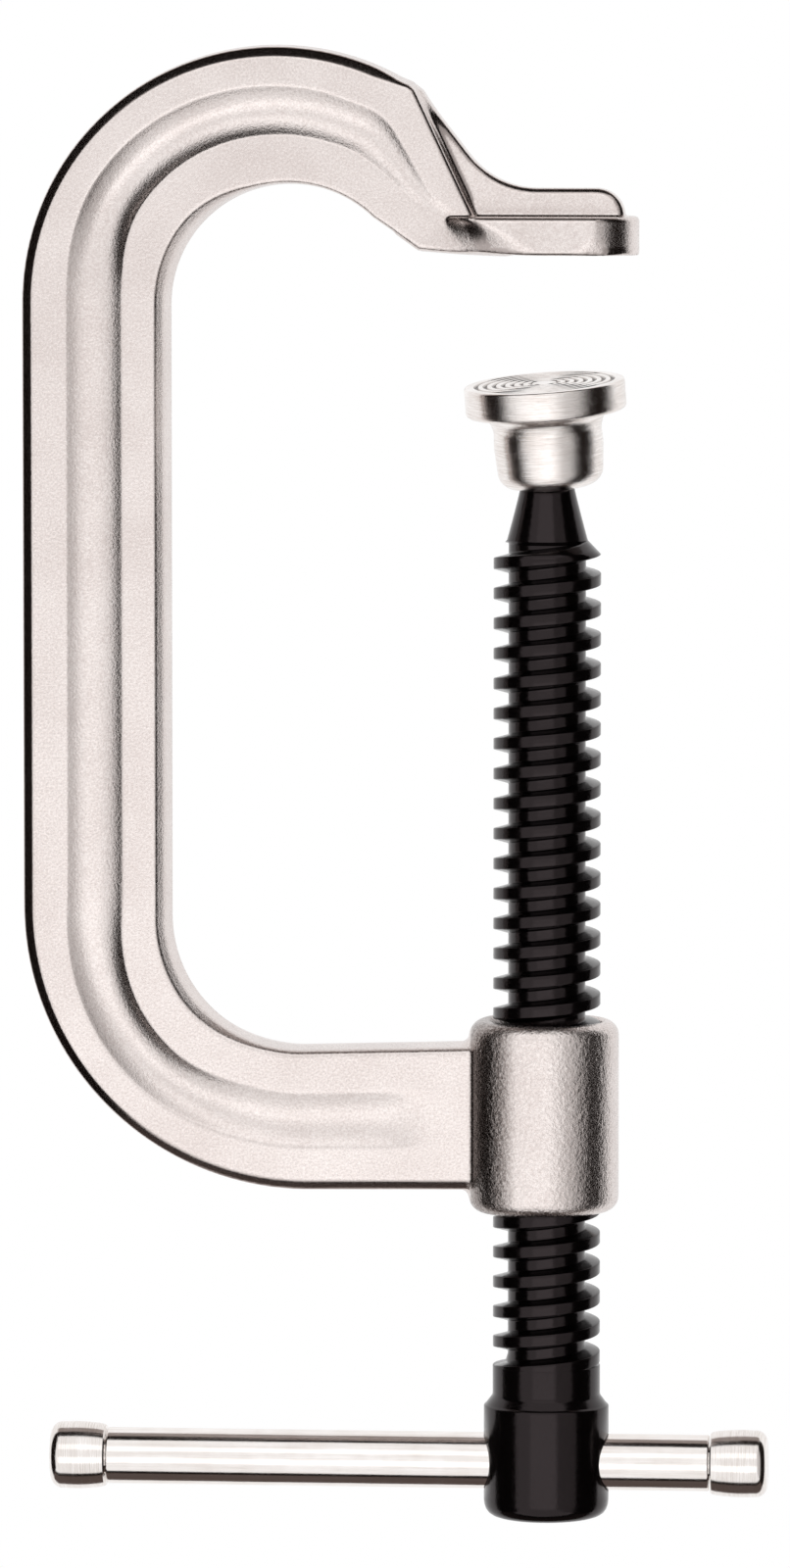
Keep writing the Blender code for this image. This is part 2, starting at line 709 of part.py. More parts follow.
def build_ring(material):
    """Split ring of round wire that sits in the groove under the screw's button."""
    wire = WIRE_SEGMENTS
    turns = SMALL_SEGMENTS
    sweep = 2.0 * math.pi - RING_GAP_ANGLE
    points = []
    for i in range(turns + 1):
        angle = RING_GAP_ANGLE / 2.0 + sweep * i / turns
        for k in range(wire):
            a = 2.0 * math.pi * k / wire
            radius = RING_RADIUS + RING_WIRE_RADIUS * math.cos(a)
            points.append(
                Vector(
                    (
                        radius * math.cos(angle),
                        radius * math.sin(angle),
                        RING_WIRE_RADIUS * math.sin(a),
                    )
                )
            )
    faces = []
    for i in range(turns):
        for k in range(wire):
            n = (k + 1) % wire
            a = wire * i
            b = a + wire
            faces.append((a + k, b + k, b + n, a + n))
    faces.append(tuple(range(wire)))
    faces.append(tuple(wire * turns + k for k in reversed(range(wire))))
    ring = make_object("pad_retaining_ring", points, faces)
    ring.location = (0.0, 0.0, PAD_CENTRE_Z - RING_DROP)
    return finish(ring, "pad_retaining_ring", material)


def build_bar(material):
    """Plain bar with a reduced spigot at each end for its cap."""
    left = CAP_LEFT_FACE_X + SEAT_CLEARANCE
    right = CAP_RIGHT_FACE_X - SEAT_CLEARANCE
    profile = [
        (0.0, left - SPIGOT_LENGTH),
        (SPIGOT_RADIUS, left - SPIGOT_LENGTH),
        (SPIGOT_RADIUS, left),
        (BAR_RADIUS, left),
        (BAR_RADIUS, right),
        (SPIGOT_RADIUS, right),
        (SPIGOT_RADIUS, right + SPIGOT_LENGTH),
        (0.0, right + SPIGOT_LENGTH),
    ]
    bar = revolve("tommy_bar", profile, SMALL_SEGMENTS, (0.0, 0.0, BAR_AXIS_Z), "X")
    return finish(bar, "tommy_bar", material)


def build_cap(name, face_x, outward, material):
    """Barrel-shaped end cap with a blind bore for the bar's spigot."""
    bore = SPIGOT_RADIUS + SEAT_CLEARANCE
    depth = SPIGOT_LENGTH
    r = CAP_OUTER_EDGE_RADIUS
    bulge = []
    steps = 2 * EDGE_STEPS
    for i in range(steps + 1):
        share = i / steps
        swell = math.sin(math.pi * (CAP_BULGE_START + CAP_BULGE_SWEEP * share))
        radius = CAP_FACE_RADIUS + (CAP_RADIUS - CAP_FACE_RADIUS) * swell
        bulge.append((radius, CAP_INNER_EDGE + (CAP_LENGTH - r - CAP_INNER_EDGE) * share))
    end = bulge[-1][0]
    profile = [(0.0, depth), (bore, depth), (bore, 0.0)]
    profile.append((CAP_FACE_RADIUS - CAP_INNER_EDGE, 0.0))
    profile += bulge
    profile += arc((end - r, CAP_LENGTH - r), r, 0.0, math.pi / 2, EDGE_STEPS)[1:]
    profile.append((0.0, CAP_LENGTH))
    cap = revolve(name, profile, SMALL_SEGMENTS, (0.0, 0.0, 0.0), "X")
    cap.location = (face_x, 0.0, BAR_AXIS_Z)
    if outward < 0:
        cap.rotation_euler = (0.0, 0.0, math.pi)
    return finish(cap, name, material)


def main():
    clear_scene()
    forged = make_material("forged_steel", (0.72, 0.68, 0.66), 0.42, 1.0)
    black = make_material("black_oxide", (0.02, 0.02, 0.022), 0.4, 0.6)
    turned = make_material("turned_steel", (0.72, 0.7, 0.67), 0.22, 1.0)
    spring = make_material("spring_steel", (0.35, 0.35, 0.36), 0.35, 1.0)
    polished = make_material("polished_steel", (0.78, 0.76, 0.73), 0.18, 1.0)
    build_frame(forged)
    build_spindle(black)
    build_pad(turned)
    build_ring(spring)
    build_bar(polished)
    build_cap("bar_cap_left", CAP_LEFT_FACE_X, -1, polished)
    build_cap("bar_cap_right", CAP_RIGHT_FACE_X, 1, polished)


main()
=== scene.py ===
import math

import bpy
import numpy as np
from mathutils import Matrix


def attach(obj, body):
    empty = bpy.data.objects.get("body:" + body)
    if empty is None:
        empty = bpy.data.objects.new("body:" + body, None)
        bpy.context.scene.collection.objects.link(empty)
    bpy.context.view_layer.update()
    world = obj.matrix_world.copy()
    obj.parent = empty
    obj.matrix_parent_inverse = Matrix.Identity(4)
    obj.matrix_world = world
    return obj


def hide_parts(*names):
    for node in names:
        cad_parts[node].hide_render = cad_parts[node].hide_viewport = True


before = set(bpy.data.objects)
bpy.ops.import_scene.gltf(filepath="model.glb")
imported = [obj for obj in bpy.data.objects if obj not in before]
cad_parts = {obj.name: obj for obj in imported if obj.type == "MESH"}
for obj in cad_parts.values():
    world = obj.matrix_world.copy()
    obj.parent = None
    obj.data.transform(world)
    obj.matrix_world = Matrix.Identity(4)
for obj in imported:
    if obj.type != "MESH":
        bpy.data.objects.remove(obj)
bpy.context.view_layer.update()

import openvdb
from mathutils import Matrix, Vector

MM = 0.001
TAU = 2.0 * math.pi

# Camera, placed as the photograph's was
TARGET = Vector((-0.0355, 0.0, -0.1230))
CAMERA_DISTANCE = 2.3
CAMERA_AZIMUTH = math.radians(5.0)
CAMERA_ELEVATION = math.radians(5.0)
CLIP_END = 50.0
PIXEL_MM = 0.2291
IMAGE_HEIGHT = 1600
SENSOR_MM = 36.0

# Lengths below are in millimetres, from the middle of the anvil's face on the screw's axis.
# A FADE is a pair: where a change starts, and where it is complete.

# Forging: the cells of its distance field and the box that the field fills
VOXEL = 0.45
FIELD_X = (-124.0, 24.0)
FIELD_Y = 18.5
FIELD_Z = (-225.0, 51.0)

# Forging, outlines in side view: the centres and points are (x, z), the stops are in degrees
OUTLINE_END_X = 60.0
ARM_LOWER_Z = -216.8
ARM_UPPER_Z = -181.0
BEND_CENTRE = (-56.0, -151.7)
BEND_RADIUS = 66.2
ARCH_CENTRE = (-62.6, -10.9)
ARCH_RADIUS = 59.6
ARCH_STOP = 61
NECK_SHOULDER = [(-31.2, 40.2), (-29.7, 38.9), (-28.9, 37.3)]
NECK_FOOT = (-15.2, 8.0)
NECK_TOE = (-12.4, 2.0)
THROAT_BEND_CENTRE = (-57.3, -154.0)
THROAT_BEND_RADIUS = 30.3
THROAT_ARCH_CENTRE = (-59.6, -11.5)
THROAT_ARCH_RADIUS = 28.0
THROAT_ARCH_STOP = 46
ANVIL_UNDERSIDE = [(-30.2, 1.9), (-29.4, 1.45), (-20.0, 0.75), (-10.0, 0.15), (-4.0, 0.0)]
ARCH_ABOVE_Z = -60.0

# Forging in section: bevels as (run, rise), drafts, and how softly edges meet
HALF = 8.3
DRAFT = 0.4
OUTER_BEVEL = (2.4, 1.68)
NECK_BEVEL = (0.8, 0.72)
NECK_BEVEL_FADE = (-41.0, -31.0)
INNER_BEVEL = (2.1, 3.2)
INNER_DRAFT = 1.1
INNER_NARROW_FADE = (-86.0, -62.0)
INNER_NARROW_ARCH = 0.78
INNER_NARROW_ARM = 0.55
SECTION_END_X = -9.0
EDGE_CRISP = 0.3
EDGE_RIM = 0.35
EDGE_SOFT = 0.4
EDGE_BROAD = 0.5
EDGE_HIDDEN = 0.8

# Channel in the forging's flats; turns round the two bends are in degrees
CHANNEL_DEPTH = 1.75
CHANNEL_HALF = 6.7
CHANNEL_LEAST_HALF = 0.5
SECTION_WIDTHS = (20.0, 40.0)
RIM_BASE = 4.4
RIM_SHARE = 0.177
ARCH_SHIFT = 2.05
ARCH_SHIFT_ON_FADE = (0.0, 36.0)
ARCH_SHIFT_OFF_FADE = (42.0, 117.0)
ARCH_SHIFT_LOST = 0.66
BEND_SHIFT = 1.65
BEND_SHIFT_ON_FADE = (-8.0, 38.0)
BEND_SHIFT_OFF_FADE = (45.0, 77.0)
SHIFT_NARROWS = 0.25
SHIFT_DEEPENS = 0.65
CHANNEL_END_FADE = (-24.0, -40.0)
ARM_SHALLOW_FADE = (-84.0, -48.0)
ARM_SHALLOW = 0.26
ARM_BELOW_Z = -150.0
NECK_ABOVE_Z = -20.0
NECK_CORNER = (-29.6, 38.7)
NECK_INNER_CORNER = (-40.15, 8.64)
NECK_INNER_FOOT = (-27.0, 0.3)
CHANNEL_NECK = [(-30.2, 40.4), (-20.5, 19.4)]
CHANNEL_NECK_TURN = 76
CHANNEL_NECK_RADIUS = 30.0
CHANNEL_ARCH_STOP = 80

# Anvil; a RULE is (x at the tongue's top, change down to its face, power of the way down)
ANVIL_THICKNESS = 9.2
ANVIL_HALF_WIDTH = 14.5
ANVIL_ROOT_X = -34.5
ANVIL_FACE_X = -24.0
ANVIL_TIP_X = 21.2
ANVIL_SUNK = 0.1
ANVIL_LEAN = 0.03
TIP_REACH = 14.0
TIP_TAPER = math.radians(13.0)
TIP_TAPER_START = 13.0
TIP_TAPER_EARLIER = 8.5
TONGUE_CHAMFER = 0.7
CHAMFER = math.radians(38.0)
FLARE_START_RULE = (-23.8, -6.8, 1.2)
FLARE_END_RULE = (-17.0, 18.0, 0.8)
FLARE_EASE = 0.6
FLARE_EXTRA = 0.5
FLARE_SUNK = 0.9

# Upright rib on the anvil
RIB_HALF = 4.0
RIB_TOP = 15.7
RIB_BACK = (-37.6, 32.0)
RIB_START = (-26.2, 33.9)
RIB_OVERRUN = 5.0
RIB_SLOPE = 52.2
RIB_FILLET = 20.0
RIB_END_X = 18.0
RIB_NOSE_X = 17.9
RIB_NOSE = 6.5
RIB_ROOT_X = -19.0
RIB_CHAMFER = 1.1

# Boss, squarer on its left, and fillets between the forging's parts as (least, increase)
BOSS_RADIUS = 16.8
BOSS_TOP = -177.8
BOSS_BOTTOM = -222.6
BOSS_EDGE = 3.5
BOSS_REACH = 18.0
BOSS_SQUARE = 2.6
BOSS_FILLET = (0.5, 2.1)
BOSS_FILLET_FADE = (7.5, 3.5)
ANVIL_FILLET = (0.5, 1.6)
RIB_FOOT_FILLET = (0.7, 1.4)
RIB_FILLET_FADE = (10.5, 14.5)

# Painting of the forging; the fades of the darker bevels are of the normal's share along y
PAINT_STEP = 0.5
BOSS_BELOW_Z = -170.0
COARSE_FADE = (-16.4, -15.5)
# Where the painted shade on the boss's left side, next to the arm, fades on and off
BOSS_SHADE_ON_FADE = (-17.6, -16.9)
BOSS_SHADE_OFF_FADE = (-5.5, -10.0)
# Where the darker colour of the slanted bevels lies, by their tilt and their distance in from the
# outline
BEVEL_DARK_STEEP_FADE = (0.50, 0.62)
BEVEL_DARK_FLAT_FADE = (0.965, 0.915)
BEVEL_DARK_INSET = (-0.5, 3.0)
BEVEL_DARK_STOP_X = -18.3
TONGUE_BEVEL_DARK_X = -26.0
TONGUE_BEVEL_DARK_HEIGHT = 1.0

# Screw: thread, and the neck that flares down into it
PITCH = 7.0
MAJOR = 12.5
MINOR = 9.0
CREST = 2.6
CREST_EDGE = 0.28
ROOT_FILLET = 0.5
ROOT_STRIP = 0.55
PROFILE_STEP = 0.65
FLANK = math.radians(15.0)
CREST_Z = -71.4
THREAD_LOW = -266.0
THREAD_HIGH = -59.5
THREAD_FACETS = 72
TAIL_TURNS = 0.5
TAIL_SUNK = 0.02
TURNED_SLOPE = 1.05
TURNED_SUNK = 0.15
NECK_BASE = (8.4, -68.0)
NECK_ROOT_Z = -65.9
NECK_ROOT_RADIUS = 9.4
NECK_TOP_Z = -51.0
NECK_POWER = 1.1
NECK_RADIUS = 5.7
NECK_STEPS = 24
BORE_GAP_R = 0.4
BORE_GAP_Z = 0.25
BORE_CHAMFER = 0.8
BORE_EDGE = 0.25
BORE_BOX = 18.0
BORE_BOX_MARGIN = 3.0

# Screw's head and shank, and the bar's hole; the step is the shoulder's (inset, rise)
HEAD_RADIUS = 14.6
HEAD_BOTTOM = -294.6
HEAD_SHOULDER = -268.4
HEAD_STEP = (0.55, 0.5)
SHANK_RADIUS = 12.55
SHANK_BOTTOM = -265.9
SHANK_TOP = -258.8
SHANK_CORE = 8.0
HEAD_ROUNDING = [0, 4.2, 0.6, 0.6, 1.6, 0.3, 0, 0]
HOLE_RADIUS = 6.95
HOLE_HALF_LENGTH = 30.0
HOLE_BEVEL = 0.5

# Button and swivel pad, with heights from the pad's pivot
PAD_Z = -40.2
BUTTON_RADIUS = 7.8
BUTTON_FOOT_TURN = -20.6
COLLAR_RADIUS = 7.3
COLLAR_LINE = [(5.6, -10.0), (6.45, -8.7), (COLLAR_RADIUS, -8.3), (COLLAR_RADIUS, -7.9)]
RING_SEAT_RADIUS = 6.0
RING_SEAT_ENDS = (-7.9, -5.1)
PAD_FACE = 11.0
PAD_RADIUS = 18.7
PAD_FLAT_RADIUS = 16.9
FLANGE_FOOT = (16.0, 4.0)
FLANGE_ROUNDING = [0, 1.7, 0.6, 0]
HUB_LINE = [(12.3, -9.3), (12.75, -3.5), (12.55, 0.2), (13.2, 2.4), (14.6, 3.7), FLANGE_FOOT]
HUB_ROUNDING = 3.0
HUB_MOUTH = (8.7, -13.3)
HUB_LIP = (8.3, -9.3, 4.0)
SOCKET_RADIUS = 8.1
SOCKET_LINE = [(SOCKET_RADIUS, -1.4), (9.8, -2.6), (9.8, -9.6), (7.7, -9.6), (7.7, -11.0)]
GROOVE_COUNT = 7
GROOVE_OUTERMOST = 15.9
GROOVE_PITCH = 2.1
GROOVE_HALF_WIDTH = 0.55
GROOVE_HALF_FLOOR = 0.25
GROOVE_DEPTH = 0.6
GROOVE_PAINT_MARGIN = 0.1
TILT_HEADING = math.radians(235.0)
TILT = math.radians(6.5)

# Bar and caps
BAR_Z = -281.7
BAR_RADIUS = 6.6
SPIGOT_RADIUS = 4.5
SPIGOT_LENGTH = 9.0
BAR_ROUNDING = [0, 0.3, 0, 0.4, 0.4, 0, 0.3, 0]
SEAT_GAP = 0.3
CAP_LEFT = -103.4
CAP_RIGHT = 38.5
CAP_LENGTHS = (13.0, 13.3)
CAP_MOUTH = [(0.0, 9.0), (4.8, 9.0), (4.8, 0.0), (6.9, 0.0), (7.25, 0.35)]
CAP_RADIUS = 7.2
CAP_BULGE = 0.7
CAP_BULGE_TURNS = (0.08, 0.62)
CAP_FOOT = 0.5
CAP_EDGE = 2.6
CAP_STEPS = 12

# Colours
BRIGHT_STEEL = (0.97, 0.93, 0.91)
PAD_DARK = (0.70, 0.63, 0.59)
BAR_DARK = (0.80, 0.74, 0.70)
CAP_DARK = (0.72, 0.66, 0.62)
SPRING_LIGHT = (0.45, 0.44, 0.43)
SPRING_DARK = (0.3, 0.29, 0.29)
FORGED_LIGHT = (0.81, 0.745, 0.72)
FORGED_DARK = (0.66, 0.585, 0.56)
# Painted shade for the boss's left side, where the arm meets it
FORGED_PAINTED_SHADE = (0.10, 0.075, 0.065)
# Darker colour of the slanted bevels along the outline and the tongue's top edge
BEVEL_DARK_COLOUR = (0.48, 0.42, 0.40)
# Painted shade for the floors of the pad's grooves
GROOVE_PAINTED_SHADE = (0.06, 0.045, 0.04)
BLACK_DARK = (0.0008, 0.0006, 0.0006)
BLACK_LIGHT = (0.0020, 0.0015, 0.0016)
BLACK_SHEEN = (1.0, 0.82, 0.85, 1.0)
WHITE = (1.0, 1.0, 1.0, 1.0)
CARD_TINT = (1.0, 0.74, 0.66)
FLOOR_COLOUR = (0.9, 0.9, 0.9, 1.0)

# Studio, in metres
WORLD_DIFFUSE = 0.55
CARDS_LEFT = -0.45
CARDS_RIGHT = 0.36
CARDS_TOP = 0.38
CARDS_LOW = -0.60
FLOOR_HALF = 0.85
FLOOR_Z = -0.62


# Lines and outlines
LONGEST_CUT = 0.48


def arc(cx, cy, radius, start, end, steps):
    """Points on a circle between two angles in degrees, both ends included."""
    turns = [math.radians(start + (end - start) * i / steps) for i in range(steps + 1)]
    return [(cx + radius * math.cos(turn), cy + radius * math.sin(turn)) for turn in turns]


def rounded(points, radius, steps=4):
    """Rounds the inner corners of an open line; radius may be a list, one for each point."""
    result = [points[0]]
    for i in range(1, len(points) - 1):
        r = radius[i] if isinstance(radius, (list, tuple)) else radius
        p = Vector(points[i])
        a = Vector(points[i - 1]) - p
        b = Vector(points[i + 1]) - p
        if r <= 0.0 or a.length < 1e-6 or b.length < 1e-6:
            result.append(tuple(p))
            continue
        cut = min(r / math.tan(a.angle(b) / 2.0), LONGEST_CUT * a.length, LONGEST_CUT * b.length)
        start = p + a.normalized() * cut
        end = p + b.normalized() * cut
        for k in range(steps + 1):
            t = k / steps
            q = start * (1 - t) ** 2 + p * (2 * t * (1 - t)) + end * t**2
            result.append(tuple(q))
    result.append(points[-1])
    return result


def outer_outline(arch_stop, steps, shoulder):
    """Outer side from the boss round to the anvil, with a shoulder after the arch."""
    outline = [(OUTLINE_END_X, ARM_LOWER_Z)]
    outline += arc(*BEND_CENTRE, BEND_RADIUS, -90, -180, 40)
    outline += arc(*ARCH_CENTRE, ARCH_RADIUS, 180, arch_stop, steps)
    return outline + shoulder + [NECK_FOOT, NECK_TOE, (OUTLINE_END_X, NECK_TOE[1])]


def forging_outline():
    return outer_outline(ARCH_STOP, 50, NECK_SHOULDER)


def channel_outline():
    """Outer side without its corner at the neck, for the channel to follow."""
    start = arc(*ARCH_CENTRE, ARCH_RADIUS, CHANNEL_NECK_TURN, CHANNEL_NECK_TURN, 1)[:1]
    shoulder = rounded(start + CHANNEL_NECK, CHANNEL_NECK_RADIUS, 12)
    return outer_outline(CHANNEL_ARCH_STOP, 40, shoulder)


def throat_outline():
    """Inner side from the arm round to the anvil's face."""
    outline = arc(*THROAT_BEND_CENTRE, THROAT_BEND_RADIUS, -90, -180, 30)
    outline += arc(*THROAT_ARCH_CENTRE, THROAT_ARCH_RADIUS, 180, THROAT_ARCH_STOP, 40)
    return outline + ANVIL_UNDERSIDE + [(OUTLINE_END_X, 0.0), (OUTLINE_END_X, ARM_UPPER_Z)]


def rib_outline():
    """Side view of the rib: a straight slope, a wide fillet, the top and a round nose."""
    slope = math.radians(RIB_SLOPE)
    down = np.array([math.cos(slope), -math.sin(slope)])
    start = np.array(RIB_START)
    corner = start + down * ((RIB_TOP - start[1]) / down[1])
    fillet_x = corner[0] + RIB_FILLET * math.tan(slope / 2.0)
    outline = [RIB_BACK, tuple(start - down * RIB_OVERRUN)]
    outline += arc(fillet_x, RIB_TOP + RIB_FILLET, RIB_FILLET, -90 - RIB_SLOPE, -90, 14)
    outline += arc(RIB_NOSE_X - RIB_NOSE, RIB_TOP - RIB_NOSE, RIB_NOSE, 90, 8, 10)
    return outline + [(RIB_END_X, ANVIL_THICKNESS / 2.0), (RIB_ROOT_X, ANVIL_THICKNESS / 2.0)]


# Fields: signed distances on a grid, negative inside
def outline_field(outline, us, vs):
    """Distance to a closed outline."""
    u = us[:, None].astype(np.float32)
    v = vs[None, :].astype(np.float32)
    best = np.full((len(us), len(vs)), 1e9, np.float32)
    inside = np.zeros(best.shape, bool)
    for (ax, ay), (bx, by) in zip(outline, outline[1:] + outline[:1]):
        dx, dy = bx - ax, by - ay
        length2 = dx * dx + dy * dy
        if length2 < 1e-9:
            continue
        t = np.clip(((u - ax) * dx + (v - ay) * dy) / length2, 0.0, 1.0)
        best = np.minimum(best, (u - ax - t * dx) ** 2 + (v - ay - t * dy) ** 2)
        if ay != by:
            inside ^= ((ay > v) != (by > v)) & (u < dx * (v - ay) / dy + ax)
    return np.where(inside, -np.sqrt(best), np.sqrt(best))


def line_distance(x, z, start, end):
    """Distance from a straight line, positive to the right of its direction."""
    dx, dz = end[0] - start[0], end[1] - start[1]
    return ((x - start[0]) * dz - (z - start[1]) * dx) / math.hypot(dx, dz)


def smax(a, b, k):
    """The greater of two fields, eased over k where they are close."""
    h = np.clip(0.5 + 0.5 * (a - b) / k, 0.0, 1.0)
    return b + (a - b) * h + k * h * (1.0 - h)


def smin(a, b, k):
    return -smax(-a, -b, k)


def smooth(x):
    x = np.clip(x, 0.0, 1.0)
    return x * x * (3.0 - 2.0 * x)


def fade(x, start, end):
    """Goes smoothly from 0 at start to 1 at end."""
    return smooth((x - start) / (end - start))


def edge_planes(n, y, run, rise, draft):
    """Bevel and drafted side of the section at a distance n in from its outline."""
    foot = HALF - rise
    bevel = ((n - draft) * -rise + (y - foot) * run) / np.hypot(rise, run)
    side = (-foot * n + draft * np.minimum(y, HALF)) / np.hypot(foot, draft)
    return bevel, side


def inner_edge(x, z):
    """Run, rise and draft of the inner edge, which narrows towards the anvil and the boss."""
    narrow = fade(x, *INNER_NARROW_FADE)
    narrow = narrow * np.where(z > ARCH_ABOVE_Z, INNER_NARROW_ARCH, INNER_NARROW_ARM)
    run, rise, draft = [size * (1.0 - narrow) for size in (*INNER_BEVEL, INNER_DRAFT)]
    return run, rise, np.maximum(draft, DRAFT)


def channel_shift(x, z):
    """How far the channel lies outward of the section's middle, in the two bends."""
    turn = np.degrees(np.arctan2(z - ARCH_CENTRE[1], ARCH_CENTRE[0] - x))
    at_arch = ARCH_SHIFT * fade(turn, *ARCH_SHIFT_ON_FADE)
    at_arch = at_arch * (1.0 - ARCH_SHIFT_LOST * fade(turn, *ARCH_SHIFT_OFF_FADE))
    turn = np.degrees(np.arctan2(BEND_CENTRE[1] - z, BEND_CENTRE[0] - x))
    at_bend = BEND_SHIFT * fade(turn, *BEND_SHIFT_ON_FADE) * (1.0 - fade(turn, *BEND_SHIFT_OFF_FADE))
    return np.where(z > ARCH_ABOVE_Z, at_arch, at_bend)


def channel_share(x, z):
    """Share of its depth that the channel keeps in the arm, at the boss and at the neck."""
    arm = fade(x, *CHANNEL_END_FADE) * (1.0 - ARM_SHALLOW * fade(x, *ARM_SHALLOW_FADE))
    arm = np.where(z < ARM_BELOW_Z, arm, 1.0)
    to_foot = np.abs(line_distance(x, z, NECK_FOOT, NECK_INNER_FOOT))
    from_corner = line_distance(x, z, NECK_CORNER, NECK_INNER_CORNER)
    share = np.clip(-from_corner / (to_foot + np.abs(from_corner) + 1e-6), 0.0, 1.0)
    return arm * np.where(z > NECK_ABOVE_Z, 1.0 - share**2, 1.0)


def channel_hollow(x, z, n, m):
    """Depth of the channel, and the factor by which its slope shortens the distance to it."""
    width = np.clip(n + m, *SECTION_WIDTHS)
    shift = channel_shift(x, z)
    reach = width / 2.0 - RIM_BASE - RIM_SHARE * width - SHIFT_NARROWS * shift
    reach = np.clip(reach, CHANNEL_LEAST_HALF, CHANNEL_HALF)
    depth = (CHANNEL_DEPTH + SHIFT_DEEPENS * shift) * channel_share(x, z) * reach / CHANNEL_HALF
    t = np.clip(((n - m) / 2.0 + shift) / reach, -1.0, 1.0)
    slope = np.where(np.abs(t) < 1.0, 2.0 * t * depth / reach, 0.0)
    return (1.0 - t**2) * depth, 1.0 / np.sqrt(1.0 + slope**2)


def section_field(x, y, z, n, m, inner, hollow, shortening):
    """Channelled and bevelled section of spine, arch and arm."""
    at_neck = fade(x, *NECK_BEVEL_FADE) * (z > ARCH_ABOVE_Z)
    run, rise = [a + (b - a) * at_neck for a, b in zip(OUTER_BEVEL, NECK_BEVEL)]
    outer_bevel, outer_side = edge_planes(n, y, run, rise, DRAFT * (1.0 + at_neck))
    inner_bevel, inner_side = edge_planes(m, y, *inner)
    field = (y - (HALF - hollow)) * shortening
    field = smax(field, y - HALF, EDGE_RIM)
    field = smax(field, outer_bevel, EDGE_CRISP)
    field = smax(field, inner_bevel, EDGE_SOFT)
    field = smax(field, outer_side, EDGE_SOFT)
    field = smax(field, inner_side, EDGE_BROAD)
    return smax(field, x - SECTION_END_X, EDGE_HIDDEN)


def boss_field(x, y, z):
    """Upright cylinder with round edges, whose left half is a squarer oval in plan."""
    oval = np.abs(x / BOSS_REACH) ** BOSS_SQUARE + np.abs(y / BOSS_RADIUS) ** BOSS_SQUARE
    radius = np.where(x < 0.0, BOSS_RADIUS * oval ** (1.0 / BOSS_SQUARE), np.hypot(x, y))
    side = radius - BOSS_RADIUS + BOSS_EDGE
    ends = np.abs(z - (BOSS_TOP + BOSS_BOTTOM) / 2.0)
    ends = ends - (BOSS_TOP - BOSS_BOTTOM) / 2.0 + BOSS_EDGE
    field = np.hypot(np.maximum(side, 0.0), np.maximum(ends, 0.0)) - BOSS_EDGE
    return field + np.minimum(np.maximum(side, ends), 0.0)


def rib_field(y, xs, zs):
    """Upright rib that joins the arch to the tongue, chamfered along its edge."""
    outline = outline_field(rib_outline(), xs, zs)[:, None, :]
    field = smax(outline, y - RIB_HALF, EDGE_CRISP)
    cut = (outline + RIB_CHAMFER) * math.sin(CHAMFER) + (y - RIB_HALF) * math.cos(CHAMFER)
    return smax(field, cut, EDGE_CRISP)


def by_rule(low, rule):
    """An x that changes with low, the share of the way down the tongue."""
    at_top, change, power = rule
    return at_top + change * low**power


def tip_field(x, y):
    """End of the tongue, half an ellipse in plan."""
    u = np.maximum(x - (ANVIL_TIP_X - TIP_REACH), 0.0) / TIP_REACH
    v = np.abs(y) / ANVIL_HALF_WIDTH
    radius = np.hypot(u, v)
    stretch = np.sqrt(u**2 * (ANVIL_HALF_WIDTH / TIP_REACH) ** 2 + v**2 + 1e-6)
    return (radius - 1.0) * ANVIL_HALF_WIDTH / stretch * radius


def anvil_field(x, y, z, low, m, inner):
    """Tongue that flares out of the arch's section and tapers to its tip."""
    start = by_rule(low, FLARE_START_RULE)
    t = np.clip((x - start) / (by_rule(low, FLARE_END_RULE) - start), 0.0, 1.0)
    swept = 1.0 - (1.0 - t) ** 2
    flare = swept + (smooth(t) - swept) * low**FLARE_EASE
    grown = (ANVIL_HALF_WIDTH + FLARE_EXTRA - HALF) * flare - FLARE_SUNK
    steep = np.sqrt(1.0 + np.gradient(grown, VOXEL, axis=0) ** 2)
    field = (y - (HALF - ANVIL_SUNK) - grown + ANVIL_LEAN * z) / steep
    field = smax(field, edge_planes(m, y - grown, *inner)[0], EDGE_SOFT)
    field = smax(field, edge_planes(m, y, *inner)[1], EDGE_BROAD)
    tapered = (x - TIP_TAPER_START + TIP_TAPER_EARLIER * low) * math.sin(TIP_TAPER)
    tapered = tapered + (y - ANVIL_HALF_WIDTH) * math.cos(TIP_TAPER)
    field = smax(field, tapered, EDGE_SOFT)
    field = smax(field, tip_field(x, y), EDGE_SOFT)
    cut = field * math.cos(CHAMFER) + (z - ANVIL_THICKNESS + TONGUE_CHAMFER) * math.sin(CHAMFER)
    field = smax(field, z - ANVIL_THICKNESS, EDGE_CRISP)
    field = smax(field, cut, EDGE_CRISP)
    field = smax(field, -z, EDGE_BROAD)
    return np.maximum(field, ANVIL_ROOT_X - x)


def forged_field(xs, ys, zs):
    """The whole forging on its far half, y from 0 up, without its bore."""
    x, y, z = xs[:, None, None], ys[None, :, None], zs[None, None, :]
    n = -outline_field(forging_outline(), xs, zs)[:, None, :]
    n_channel = -outline_field(channel_outline(), xs, zs)[:, None, :]
    m = outline_field(throat_outline(), xs, zs)[:, None, :]
    inner = inner_edge(x, z)
    low = np.clip(1.0 - z / ANVIL_THICKNESS, 0.0, 1.0)

    body = section_field(x, y, z, n, m, inner, *channel_hollow(x, z, n_channel, m))
    fillet = BOSS_FILLET[0] + BOSS_FILLET[1] * fade(y, *BOSS_FILLET_FADE)
    body = smin(body, boss_field(x, y, z), fillet)
    fillet = ANVIL_FILLET[0] + ANVIL_FILLET[1] * low
    anvil = anvil_field(x, y, z, low, m, inner)
    body = np.where(z > ARCH_ABOVE_Z, smin(body, anvil, fillet), body)
    fillet = RIB_FOOT_FILLET[0] + RIB_FOOT_FILLET[1] * fade(z, *RIB_FILLET_FADE)
    body = smin(body, rib_field(y, xs, zs), fillet)
    below_face = np.where((x > ANVIL_FACE_X) & (z > ARCH_ABOVE_Z), -z, -1e3)
    return smax(body, below_face, EDGE_SOFT)


